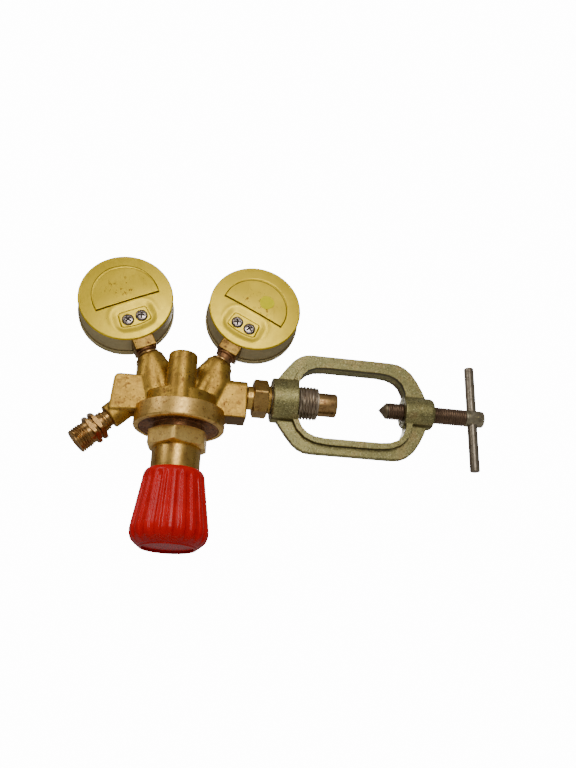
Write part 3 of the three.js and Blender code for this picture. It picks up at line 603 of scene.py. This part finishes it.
# The sky lights the object softly, brighter from above, and what the camera sees of it is white.
SEEN_STRENGTH = 14.5
world = bpy.data.worlds.new("studio")
bpy.context.scene.world = world
world.use_nodes = True
sky = world.node_tree
sky_place = sky.nodes.new("ShaderNodeTexCoord")
sky_split = sky.nodes.new("ShaderNodeSeparateXYZ")
sky_ramp = sky.nodes.new("ShaderNodeMapRange")
for socket, value in (("From Min", -0.8), ("From Max", 0.9), ("To Min", 0.03), ("To Max", 0.34)):
    sky_ramp.inputs[socket].default_value = value
sky_path = sky.nodes.new("ShaderNodeLightPath")
sky_mix = sky.nodes.new("ShaderNodeMixShader")
sky_seen = sky.nodes.new("ShaderNodeBackground")
sky_seen.inputs["Color"].default_value = (1, 1, 1, 1)
sky_seen.inputs["Strength"].default_value = SEEN_STRENGTH
sky_light = sky.nodes["Background"]
sky_light.inputs["Color"].default_value = (1, 1, 1, 1)
for start, end in (
    (sky_place.outputs["Generated"], sky_split.inputs["Vector"]),
    (sky_split.outputs["Z"], sky_ramp.inputs["Value"]),
    (sky_ramp.outputs["Result"], sky_light.inputs["Strength"]),
    (sky_path.outputs["Is Camera Ray"], sky_mix.inputs["Fac"]),
    (sky_light.outputs["Background"], sky_mix.inputs[1]),
    (sky_seen.outputs["Background"], sky_mix.inputs[2]),
    (sky_mix.outputs["Shader"], sky.nodes["World Output"].inputs["Surface"]),
):
    sky.links.new(start, end)

floor_mesh = bpy.data.meshes.new("floor")
floor_mesh.from_pydata([(-4, -4, -0.7), (4, -4, -0.7), (4, 4, -0.7), (-4, 4, -0.7)], [], [(0, 1, 2, 3)])
floor = added("floor", floor_mesh)
floor_mesh.materials.append(plain("floor_paint", (0.86, 0.86, 0.85), (0.83, 0.83, 0.82), 0.7, 120.0))


# -------- body


def boss_place(side):
    """Where a gauge boss's axes are: its axis is Z and the gauge lies at its origin."""
    turn = Matrix.Rotation(math.radians(GAUGE_TILT * SIGN[side]), 4, "Y")
    return Matrix.Translation((GAUGE_X * SIGN[side], 0, GAUGE_Z)) @ turn


def gauge_place(side):
    """Where a gauge's own axes are: its stem points along -Z and its back faces -Y."""
    return boss_place(side) @ Matrix.Translation((0, 0, UNSCREWED[side]))


def moved(part, place):
    """The same part in another place."""
    verts, faces = part
    matrix = np.array(place)
    return verts @ matrix[:3, :3].T + matrix[:3, 3], faces


def along_x(outline, low, high):
    """A closed outline in YZ given length along X."""
    verts, faces = prism(outline, low, high)
    return np.stack([verts[:, 1], verts[:, 0], verts[:, 2]], axis=1), faces


OUTLET = Matrix.Translation((-41.7, 0, -20.75)) @ Matrix.Rotation(math.radians(225), 4, "Y")
right_section = rounded([(-8, -16.2, 0.7), (8, -16.2, 0.7), (8, 8.8, 4.8), (-8, 8.8, 4.8)], 1.0)
left_outline = rounded([
    (8, 5.8, 0), (-41.1, 5.8, 3.6), (-42.4, -17.8, 1.5), (-25.0, -16.4, 1.0), (8, -16.4, 0)], 1.0)
outlet_boss = [(0, -16), (7.9, -16), (7.9, 0, 0.7), (0, 0)]
tower_profile = [(0, -15), (9.3, -15), (9.1, -4), (8.75, 18.75, 1.6), (0, 18.75)]
boss_profile = [(0, -73), (8.9, -73), (9.1, -48), (8.9, -41.1, 6.5), (0, -41.1)]


def disc_at(radius, x, z):
    """A thin level disc for a hull to stretch over."""
    return moved(turned([(0, 0), (radius, 0), (radius, 0.5), (0, 0.5)]), Matrix.Translation((x, 0, z)))


def gauge_rib(side):
    """The rib under a gauge boss, which widens down to the drum and inwards to the tower."""
    sign = SIGN[side]
    waist = {"left": 19.5, "right": 21.4}[side]
    head = moved(turned([(0, 0), (9.1, 0), (9.1, 0.6, 0.8), (0, 0.6)]),
                 boss_place(side) @ Matrix.Translation((0, 0, -45.4)))
    return hull([head, disc_at(7.1, sign * 14.5, 15.5), disc_at(9.5, sign * waist, 5),
                 disc_at(10, sign * 13.5, -13)])


CAST_VOXEL = 0.36

cast_piece(
    "body_cast",
    [
        turned([(0, -20), (22.1, -20), (22.1, -4.4, 1.0), (0, -4.4)]),
        moved(turned(tower_profile, 0.5, 72, 6), Matrix.Translation((-1.2, -14, 0))),
        along_x(right_section, 0, 39.9),
        prism(left_outline, -7.9, 7.9),
        moved(turned(outlet_boss, 0.5, 72, 4), OUTLET @ Matrix.Scale(0.88, 4, (0, 1, 0))),
        moved(turned(boss_profile, 0.5, 72, 8), boss_place("left")),
        moved(turned(boss_profile, 0.5, 72, 8), boss_place("right")),
        gauge_rib("left"),
        gauge_rib("right"),
    ],
    [
        turned([(0, -26), (20.0, -26), (20.0, -12), (0, -12)], 0),
        turned([(0, -13), (5.5, -13), (5.5, 3), (0, 3)], 0, 48),
    ],
    CAST_VOXEL, 28, cast_brass, ["body_casting"],
)

piece("body_flange", [turned([
    (19.5, -13.5), (27.5, -13.5, 0.5), (27.5, -24.6, 3.6), (24.2, -24.6, 0.3), (24.2, -19.5), (19.5, -19.5)],
    0.2, 160, 8)], brown_brass, ())


# -------- inlet, yoke and clamp screw

SLEEVE_PITCH, CLAMP_PITCH, OUTLET_PITCH, FEED_PITCH = 2.05, 1.5, 1.4, 2.0
WINDOW_CENTRE = np.array([107.0, 0.0])
piece("inlet_stem_round", [turned([
    (2.5, 27), (6, 27), (6, 40.2), (7.4, 40.2, 0.5), (7.4, 43.7, 0.2), (9.6, 43.7), (9.6, 52.6),
    (8.8, 52.9), (8.8, 54.9, 0.3), (5.9, 54.9), (5.9, 73.7), (2.5, 73.7)], 0.2)],
    machined_brass, ["inlet_stem"], place=TO_X)
stem_rings = hexagon_rings(21.4, 43.6, 52.9, math.radians(27))
piece("inlet_hexagon", [skin([ring(0, 43.6), *stem_rings, ring(0, 52.9)])], dull_brass, (),
      place=TO_X)

sleeve_rings = [ring(8.4, 55.2), ring(8.4, 72.2), ring(9.2, 72.3)]
sleeve_rings += thread_rings(10.5, 1.05, SLEEVE_PITCH, 72.6, 84.3, 96)
sleeve_rings += [ring(9.2, 84.6, 96), ring(6.2, 84.6, 96), ring(6.2, 55.2, 96)]
piece("yoke_sleeve_threaded", [skin(sleeve_rings, loop=True)], grey_steel, ["yoke_sleeve"],
      place=TO_X, smooth=50)

piece("nozzle", [turned([
    (2.5, 74), (5.9, 74), (5.9, 84.9), (7.45, 84.9), (7.45, 96.8, 0.9), (4.2, 96.8, 0.3),
    (4.2, 90.8), (2.5, 90.8)], 0.2)], nozzle_brass, ["inlet_nozzle"], place=TO_X)
piece("filter_disc", [turned([(0, 91.1), (3.9, 91.1), (3.9, 93.8), (0, 93.8)], 0.4)], sintered,
      ["inlet_filter"], place=TO_X)


def radial(outline, centre, count):
    """Points of a closed outline in XZ on rays from a centre, evenly spaced by angle."""
    points = np.array(outline, float) - centre
    angle = np.arange(count) * 2 * math.pi / count
    follow = np.roll(points, -1, axis=0)
    made = []
    for a in angle:
        ray = np.array([math.cos(a), math.sin(a)])
        across = np.array([-ray[1], ray[0]])
        side_a, side_b = points @ across, follow @ across
        hit = (side_a * side_b <= 0) & (np.abs(side_a - side_b) > 1e-9)
        share = np.where(hit, side_a / np.where(hit, side_a - side_b, 1.0), 0.0)
        reach = (points + (follow - points) * share[:, None]) @ ray
        made.append(np.max(np.where(hit, reach, 0.0)))
    reach = np.array(made)
    return np.stack([reach * np.cos(angle), reach * np.sin(angle)], axis=1) + centre


def band(outer, inner, half, count=240):
    """A closed band between two outlines in XZ, with depth along Y."""
    around, within = (radial(outline, WINDOW_CENTRE, count) for outline in (outer, inner))
    loops = [(around, half), (around, -half), (within, -half), (within, half)]
    rings = [np.stack([p[:, 0], np.full(count, y), p[:, 1]], axis=1) for p, y in loops]
    return skin(rings, loop=True)


window_outline = rounded([(72, -23.5), (142, -23.5), (142, 23.5), (72, 23.5)], 17)
rim_outline = rounded([(67.6, -27.9), (146.4, -27.9), (146.4, 27.9), (67.6, 27.9)], 24)
half_outer = [(57.0, 9), (58.4, 13.5), (64.2, 21.9), (69.2, 28.1), (72.6, 30.8), (76.5, 32.6), (81.5, 33.1),
              (131.6, 33.1), (137.8, 32.5), (142.5, 30.5), (147.0, 26.8), (150.8, 21.1), (154.0, 15.0),
              (156.4, 9)]
outer_outline = half_outer + [(x, -z) for x, z in reversed(half_outer)]

cast_piece(
    "yoke_cast",
    [
        band(outer_outline, rim_outline, 2.15),
        band(rim_outline, window_outline, 5.4),
        moved(turned([(0, 55.4), (14.05, 55.4, 1.0), (14.05, 71.3, 0.6), (0, 71.3)], 0.5), TO_X),
        moved(turned([(0, 140.5), (10.2, 140.5), (10.2, 160.2, 2.8), (0, 160.2)], 0.5, 96, 6), TO_X),
    ],
    [
        moved(turned([(0, 50), (8.5, 50), (8.5, 80), (0, 80)], 0), TO_X),
        moved(turned([(0, 136), (5.5, 136), (5.5, 170), (0, 170)], 0), TO_X),
    ],
    CAST_VOXEL, 3, zinc, ["yoke"], "yoke",
)

CLAMP = "clamp_screw"
piece("clamp_point", [turned([(0, 124.6, 0), (5.25, 129.8, 0.4), (5.25, 130.0), (0, 130.0)], 0.3)],
      point_steel, ["clamp_screw_point"], "clamp_point", TO_X)
screw_rings = [ring(0, 130.3), ring(4.6, 130.3, 64)]
screw_rings += thread_rings(5.4, 0.5, CLAMP_PITCH, 130.5, 182.3, 64)
piece("clamp_screw_thread", [skin([*screw_rings, ring(4.6, 182.4, 64), ring(0, 182.4)])], brown_steel,
      ["clamp_screw"], CLAMP, TO_X, 50)
piece("clamp_screw_head", [turned([
    (0, 182.3), (4.9, 182.3), (5.4, 183.0, 0.4), (5.4, 194.7, 1.2), (0, 194.7)], 0.3)],
    head_steel, (), CLAMP, TO_X)
piece("bar", [turned([(0, -35.6), (3.15, -35.6, 0.7), (3.15, 35.6, 0.7), (0, 35.6)], 0.6, 64)], bar_steel,
      ["tommy_bar"], CLAMP, Matrix.Translation((187.6, 0, 0)))


# -------- outlet

outlet_rings = hexagon_rings(17, 6.8, 9.7, 0)
lower_rings = hexagon_rings(17, 10.9, 13.8, 0)
piece("outlet_hexagon", [skin([ring(0, 6.8), *outlet_rings, ring(7.3, 9.9, 120), ring(7.3, 10.7, 120),
                               *lower_rings, ring(0, 13.8)])], red_brass, (), place=OUTLET)
outlet_body = [ring(r, z, 72) for r, z in soften([
    (2.6, -6.9), (4.9, -6.9), (4.9, 0.3), (5.2, 0.3), (5.2, 2.4), (6.1, 2.6, 0.4), (6.1, 3.6, 0.2),
    (5.6, 3.8), (5.6, 4.2), (6.2, 4.4), (6.2, 6.9), (7.2, 6.9), (7.2, 15.8, 0.5), (6.9, 16.0),
    (6.9, 16.4)], 0.2)]
outlet_body += thread_rings(7.85, 0.75, OUTLET_PITCH, 16.6, 24.1, 72)
outlet_body += [ring(6.8, 24.4, 72), ring(5.4, 24.4, 72), ring(2.6, 22, 72)]
piece("outlet_threaded", [skin(outlet_body, loop=True)], red_brass, ["outlet_fitting"],
      place=OUTLET, smooth=50)


# -------- bonnet and adjusting screw

piece("bonnet_dish", [turned([
    (12.2, -21.1), (23.9, -21.1), (23.9, -24.3, 0.3), (22.9, -24.3, 0.4), (20.5, -23.2, 1.0),
    (16.3, -22.9, 0.6), (15.5, -23.5, 0.3), (15.5, -27.5), (12.2, -27.5)], 0.2, 128)],
    dark_brass, ())
bonnet_rings = reversed(hexagon_rings(33.6, -37.2, -27.05, math.radians(-98.2)))
bonnet_part = skin([ring(12.2, -27.0, 120), *bonnet_rings, ring(12.2, -37.2, 120)], loop=True)
piece("bonnet_hexagon", [bonnet_part], hexagon_brass, ["bonnet"])
piece("bonnet_barrel", [turned([
    (12.2, -36.8), (14.6, -36.8), (14.6, -66, 0.8), (5.1, -66), (5.1, -56), (12.2, -56)], 0.3, 128)],
    machined_brass, ())


# -------- knob

RIBS, FLUTE_DEPTH, FLUTED_FROM = 20, 1.05, 16.95
FLUTE_SQUARENESS = 2.2


def knob_ring(radius, height, depth, count=480):
    """A circle with a wave of flutes cut into it. depth is nil where the wall is plain."""
    angle = np.arange(count) * 2 * math.pi / count
    wave = np.cos(angle * RIBS)
    groove = 0.5 - 0.5 * np.tanh(wave * FLUTE_SQUARENESS) / math.tanh(FLUTE_SQUARENESS)
    return ring(radius - depth * groove, height, count)


knob_wall = soften([
    (15.1, -76, 0.5), (15.1, -53, 1.0), (15.6, -51.25, 0.8), (16.6, -51.25, 0.8), (17.9, -53.2, 1.2),
    (23.0, -87.2, 3.5), (21.6, -92.2, 2.5), (17.6, -95.3, 0.9), (16.9, -95.4, 0.3), (16.4, -96.35, 0.4),
    (14.9, -96.35, 0.3), (14.9, -95.0, 0.2), (14.8, -93.3), (5.3, -93.3), (5.3, -76)], 0.4, 6)
dense = []
for (r0, z0), (r1, z1) in zip(knob_wall, knob_wall[1:] + knob_wall[:1]):
    steps = max(1, int(abs(z1 - z0) / 1.5))
    dense += [(r0 + (r1 - r0) * k / steps, z0 + (z1 - z0) * k / steps) for k in range(steps)]


def flute_depth(radius, height):
    """How deep the flutes are, running out at the knob's top and bottom."""
    if radius < FLUTED_FROM:
        return 0.0
    top = min(1.0, max(0.0, (-54.2 - height) / 3.0))
    low = min(1.0, max(0.0, (height + 95.0) / 4.5))
    return FLUTE_DEPTH * top * low ** 0.7


piece("knob_shell", [skin([knob_ring(r, z, flute_depth(r, z)) for r, z in dense], loop=True)], red,
      ["adjusting_knob"], "knob", smooth=60)
piece("knob_disc", [turned([(0, -95.0), (13.2, -95.0, 0.6), (14.2, -95.15), (14.5, -95.15), (14.5, -93.7),
                            (0, -93.7)], 0.3, 128)], red, ["knob_cap"], "knob")
feed_rings = [ring(0, -90.0), ring(4.6, -90.0, 64)]
feed_rings += thread_rings(5.0, 0.6, FEED_PITCH, -89.8, -52.9, 64)
feed_rings += [ring(4.4, -52.6, 64), ring(3.6, -51.3, 64), ring(0, -51.3)]
piece("feed_screw", [skin(feed_rings)], bar_steel, ["adjusting_screw"], "knob", smooth=50)


# -------- gauges


def smooth_step(value, low, high):
    """0 below low, 1 above high and an eased rise between."""
    t = np.clip((value - low) / (high - low), 0, 1)
    return t * t * (3 - 2 * t)


def back_height(x, z):
    """How deep the back plate lies at a point: the panel's outline and the raised plate for the screws."""
    radius = np.hypot(x, z)
    arc = np.exp(-(((radius - PANEL_RADIUS) / 0.24) ** 2)) * smooth_step(z, -3.6, -2.6)
    chord = np.exp(-(((z + PANEL_CHORD) / 0.30) ** 2)) * smooth_step(21.0 - np.abs(x), 0.0, 0.5)
    inside = smooth_step(PANEL_RADIUS - radius, 0, 0.5) * smooth_step(z + PANEL_CHORD, 0, 0.5)
    lift = -0.30 * inside * smooth_step(-z, -14.0, 3.2)
    half_wide = 9.3 - 0.09 * (z - PLATE_Z)
    half_high, corner = 5.2, 1.3
    bowed = z - PLATE_Z - np.where(z < PLATE_Z, 0.016 * x * x, 0.0)
    dx = np.maximum(np.abs(x) - (half_wide - corner), 0.0)
    dz = np.maximum(np.abs(bowed) - (half_high - corner), 0.0)
    outside = np.hypot(dx, dz) - corner
    hollow = 1.0 - smooth_step(outside, 0.2, 5.2)
    plate = 1.0 - smooth_step(outside, -0.25, 0.55)
    crest = np.exp(-(((outside - 5.6) / 1.6) ** 2)) * smooth_step(24.0 - radius, 0.0, 3.0)
    dome = 1.0 * (radius / 28) ** 2
    return dome + 0.22 * arc + 0.60 * chord + lift + 0.70 * hollow - 0.60 * plate - 0.10 * crest


def gauge_back():
    """The back plate and its rounded rim as rings about the gauge's own axis, with the relief."""
    count = 420
    radii = np.concatenate([np.linspace(0.4, 26.4, 158), np.linspace(26.7, 28.5, 10)])
    angle = np.arange(count) * 2 * math.pi / count
    rings = [np.array([[0.0, BACK_Y, 0.0]])]
    for radius in radii:
        x, z = radius * np.cos(angle), radius * np.sin(angle)
        rings.append(np.stack([x, BACK_Y + back_height(x, z), z], axis=1))
    for k in range(1, 9):
        turn = k / 8 * math.pi / 2
        rings.append(level(28.5 + 1.1 * math.sin(turn), -6.9 - 1.1 * math.cos(turn)))
    return rings


def level(radius, y, count=420):
    """A circle about Y."""
    angle = np.arange(count) * 2 * math.pi / count
    return np.stack([radius * np.cos(angle), np.full(count, float(y)), radius * np.sin(angle)], axis=1)


def add_screw(name, x, place, node, turn):
    """A cross-recess screw head: a low dome with a cross sunk into it, with painted shade in the recess and
    round the head.
    """
    count, radii = 96, np.linspace(0.15, HEAD_RADIUS, 28)
    angle = np.arange(count) * 2 * math.pi / count
    rings = [np.array([[x, -9.2, SCREW_Z]])]
    for radius in radii:
        u, v = radius * np.cos(angle), radius * np.sin(angle)
        a = np.abs(u * math.cos(turn) + v * math.sin(turn))
        b = np.abs(v * math.cos(turn) - u * math.sin(turn))
        slot = (1 - smooth_step(np.minimum(a, b), 0.30, 0.50)) * (1 - smooth_step(radius, 2.0, 2.4))
        dome = 0.30 * (1 - (radius / HEAD_RADIUS) ** 2)
        height = -9.45 - dome + 0.80 * slot + 0.60 * smooth_step(radius, 2.9, HEAD_RADIUS)
        rings.append(np.stack([x + u, height, SCREW_Z + v], axis=1))
    for radius, y in ((3.46, -8.5), (3.46, -7.8), (1.5, -7.8), (1.5, -0.2)):
        rings.append(level(radius, y, count) + [x, 0, SCREW_Z])
    rings.append(np.array([[x, -0.2, SCREW_Z]]))
    piece(name, [skin(rings)], screw_steel, [node], place=place, smooth=45)
    # Painted shade: a dark cross filling the recess and a dark ring round the head.
    centre = Matrix.Translation((x, 0, SCREW_Z))
    arms = [[(-a, -b), (a, -b), (a, b), (-a, b)] for a, b in ((2.1, 0.3), (0.3, 2.1))]
    cross = [moved(prism(arm, -9.36 - 0.01 * k, -9.0), centre @ Matrix.Rotation(-turn, 4, "Y"))
             for k, arm in enumerate(arms)]
    piece(name + "_recess", cross, recess_dirt, (), place=place)
    outline = turned([(3.3, 8.7), (3.8, 8.7), (3.8, 8.98), (3.3, 8.98)], 0.1, 72)
    piece(name + "_dirt", [moved(outline, centre @ Matrix.Rotation(math.pi / 2, 4, "X"))],
          recess_dirt, (), place=place)


def box_part(low, high, size=0.5):
    """A box with its upright edges rounded, as rings from bottom to top."""
    (x0, y0, z0), (x1, y1, z1) = low, high
    outline = rounded([(x0, y0), (x1, y0), (x1, y1), (x0, y1)], size)
    inner = rounded([(x0 + size / 2, y0 + size / 2), (x1 - size / 2, y0 + size / 2),
                     (x1 - size / 2, y1 - size / 2), (x0 + size / 2, y1 - size / 2)], size)

    def at(points, z):
        return np.array([[x, y, z] for x, y in points])

    middle = ((x0 + x1) / 2, (y0 + y1) / 2)
    return skin([np.array([[*middle, z0]]), at(inner, z0), at(outline, z0 + size / 2),
                 at(outline, z1 - size / 2), at(inner, z1), np.array([[*middle, z1]])])


def figures(name, texts, place, material):
    """Figures on a dial, as flat outlines that face the reader on the +Y side."""
    parts = []
    for text, size, x, z in texts:
        curve = bpy.data.curves.new(name, "FONT")
        curve.body = text
        curve.size = size
        curve.align_x = "CENTER"
        curve.align_y = "CENTER"
        curve.extrude = 0.04
        curve.resolution_u = 3
        obj = added(name, curve)
        bpy.context.view_layer.update()
        graph = bpy.context.evaluated_depsgraph_get()
        mesh = bpy.data.meshes.new_from_object(obj.evaluated_get(graph))
        verts = np.array([v.co for v in mesh.vertices])
        faces = [tuple(f.vertices) for f in mesh.polygons]
        bpy.data.objects.remove(obj)
        parts.append((np.stack([x - verts[:, 0], 8.18 + verts[:, 2], z + verts[:, 1]], axis=1), faces))
    piece(name, parts, material, (), place=place)


def mark(angle, inner, outer, width):
    """A thin bar on the dial, pointing outwards at an angle clockwise from the top as it is read."""
    turn = math.radians(angle)
    out = np.array([-math.sin(turn), math.cos(turn)])
    side = np.array([out[1], -out[0]]) * width / 2
    corners = [out * inner - side, out * outer - side, out * outer + side, out * inner + side]
    return prism(corners, DIAL_Y, 8.2)


def sector_part(start, stop, inner, outer):
    """A curved band on the dial between two angles."""
    turns = np.radians(np.linspace(start, stop, 40))
    outline = [(-outer * math.sin(t), outer * math.cos(t)) for t in turns]
    outline += [(-inner * math.sin(t), inner * math.cos(t)) for t in turns[::-1]]
    count = len(outline)
    points = np.array(outline)
    verts = np.concatenate([np.stack([points[:, 0], np.full(count, y), points[:, 1]], axis=1)
                            for y in (DIAL_Y, 8.18)])
    half = count // 2
    faces = []
    for base in (0, count):
        for k in range(half - 1):
            faces.append((base + k, base + k + 1, base + count - 2 - k, base + count - 1 - k))
    for k in range(count):
        j = (k + 1) % count
        faces.append((k, j, count + j, count + k))
    return verts, faces


def add_gauge(side, labels, red_from):
    """A whole gauge: its case, dial with figures, pointer, stem and screws."""
    place = gauge_place(side)
    node = f"gauge_{side}_"
    back_rings = [*gauge_back(), level(29.55, -6.7), level(28.7, BACK_RIM_Y),
                  np.array([[0.0, BACK_RIM_Y, 0.0]])]
    piece(node + "back", [skin(back_rings)], painted_gold[side], [node + "case"],
          place=place, smooth=60)
    wall = [level(29.55, -6.7, 160), level(29.6, -6.4, 160), level(29.6, 11.4, 160), level(28.8, 11.4, 160),
            level(28.8, -6.7, 160)]
    piece(node + "wall", [skin(wall, loop=True)], painted_side, (), place=place)
    bezel_profile = [(26.6, 13.5), (28.6, 13.5), (28.6, 11.7), (29.9, 11.7), (29.9, 8.6), (30.6, 8.6, 0.4),
                     (30.65, 13.2, 0.9), (29.2, 14.25, 1.2), (26.6, 14.0, 0.3)]
    piece(node + "rim", [turned(bezel_profile, 0.2, 160)], painted_side, [node + "bezel"],
          place=place @ TO_Y)
    piece(node + "pane", [turned([(0, 11.7), (28.3, 11.7), (28.3, 13.2), (0, 13.2)], 0.2, 128)],
          window_glass.material, [node + "window"], place=place @ TO_Y)
    piece(node + "face", [turned([(1.6, 7.4), (28.3, 7.4), (28.3, 8.1), (1.6, 8.1)], 0.1, 128)],
          dial_white, [node + "dial"], place=place @ TO_Y)
    count = len(labels) - 1
    turns = [-HALF_SWEEP + 2 * HALF_SWEEP * k / count for k in range(count + 1)]
    small = [-HALF_SWEEP + 2 * HALF_SWEEP * k / (count * 5) for k in range(count * 5 + 1)]
    bars = [mark(a, 21.2, 25.0, 0.55) for a in turns]
    bars += [mark(a, 23.0, 25.0, 0.25) for k, a in enumerate(small) if k % 5]
    piece(node + "marks", bars, dial_black, (), place=place)
    piece(node + "limit", [sector_part(red_from, HALF_SWEEP, 25.3, 26.4)], dial_red, (),
          place=place)
    texts = [(label, 4.2, -17.6 * math.sin(math.radians(a)), 17.6 * math.cos(math.radians(a)))
             for label, a in zip(labels, turns)]
    figures(node + "figures", texts, place, dial_black)
    needle = [(-0.3, 21.5), (0.3, 21.5), (1.0, 0.5), (0.85, -4), (1.6, -7.2), (-1.6, -7.2), (-0.85, -4),
              (-1.0, 0.5)]
    hub = turned([(0, 9.2), (2.3, 9.2), (2.3, 10.2, 0.4), (0, 10.35)], 0.3, 48)
    piece(node + "needle", [prism(rounded(needle, 0.3), 9.35, 9.75), moved(hub, TO_Y)],
          black_paint, [node + "pointer"], node + "pointer",
          place @ Matrix.Rotation(math.radians(HALF_SWEEP), 4, "Y"))
    stem = [box_part((-6.9, -6.9, -36.0), (6.9, 6.9, -28.2), 0.9)]
    # The right gauge's stem takes a darker copy of the left stem's brass.
    stem_brass = pale_brass if side == "left" else right_stem_brass
    piece(node + "square", stem, stem_brass, [node + "socket"], place=place)
    seat = -BOSS_TOP - UNSCREWED[side]
    neck = [(0, seat - 9.7), (4.9, seat - 9.7), (4.9, seat + 0.2), (5.6, seat + 0.2), (5.6, seat + 1.4, 0.2),
            (5.1, seat + 1.6), (5.1, -37.4), (6.1, -36.8), (6.4, -35.8), (0, -35.8)]
    piece(node + "neck", [turned(neck, 0.2, 72)], dark_brass, (), place=place)
    ring_profile = [(5.75, seat + 0.2), (6.9, seat + 0.2, 0.3), (6.9, seat + 1.4, 0.3), (5.75, seat + 1.4)]
    piece(node + "sealing_ring", [turned(ring_profile, 0.2, 72)], red_brass, [node + "washer"],
          place=place)
    add_screw(node + "cross_screw_left", -SCREW_X, place, node + "screw_left", 0.5)
    add_screw(node + "cross_screw_right", SCREW_X, place, node + "screw_right", 1.1)


add_gauge("left", ["0", "0.5", "1", "1.5", "2", "2.5"], 26.5)
add_gauge("right", ["0", "10", "20", "30", "40"], 66.25)

sticker_place = gauge_place("right")
spot = sticker_place.inverted() @ Vector((48.7, 0, 63.4))
sticker_radius, sweep = 4.7, level(1.0, 0, 72)
wobble = 1 + 0.04 * np.sin(np.arange(72) * 2 * math.pi / 72 * 3)
disc = [np.array([[spot.x, -9.42, spot.z]])]
for reach in (1.5, 3.0, 4.2, sticker_radius):
    height = np.full(72, -9.40 + 0.02 * reach / sticker_radius)
    disc.append(np.stack([spot.x + reach * wobble * sweep[:, 0], height,
                          spot.z + reach * wobble * sweep[:, 2]], axis=1))
edge = disc[-1].copy()
edge[:, 1] = -9.1
disc += [edge, np.array([[spot.x, -9.08, spot.z]])]
piece("round_sticker", [skin(disc)], sticker, (), place=sticker_place)


# -------- springs


def add_coil(name, node, radius, wire, low, high, turns, material):
    """A coil spring of round wire wound about Z between two heights, in place of its CAD node."""
    count, sides = turns * 48, 12
    section = np.arange(sides) * 2 * math.pi / sides
    rings = []
    for k in range(count + 1):
        sweep = 2 * math.pi * turns * k / count
        reach = radius + wire * np.cos(section)
        height = low + wire + (high - low - 2 * wire) * k / count + wire * np.sin(section)
        rings.append(np.stack([reach * math.cos(sweep), reach * math.sin(sweep), height], axis=1))
    rings = [rings[0].mean(axis=0, keepdims=True), *rings, rings[-1].mean(axis=0, keepdims=True)]
    obj = added(name, mesh_of(name, [skin(rings)]))
    obj.data.shade_smooth()
    obj.data.materials.append(material)
    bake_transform(obj)
    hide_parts(node)


add_coil("main_coil", "main_spring", 8.6, 1.25, -47.4, -23.4, 5, spring_steel)
add_coil("poppet_coil", "poppet_spring", 2.7, 0.4, -4, 2.7, 4, spring_steel)


# -------- inner pieces keep their CAD shape

INNER = {
    "diaphragm": rubber, "diaphragm_plate": clean_brass, "diaphragm_washer": clean_brass,
    "push_pin": screw_steel, "valve_seat": clean_brass, "valve_poppet": nylon,
    "spring_button": clean_brass, "knob_fixing_screw": screw_steel,
}
for side in ("left", "right"):
    INNER |= {
        f"gauge_{side}_arbor": clean_brass, f"gauge_{side}_sector": clean_brass,
        f"gauge_{side}_movement": clean_brass, f"gauge_{side}_bourdon_tube": sintered,
        f"gauge_{side}_link": screw_steel,
    }
for node, material in INNER.items():
    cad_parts[node].material_slots[0].link = "OBJECT"
    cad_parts[node].material_slots[0].material = material

bpy.context.view_layer.update()
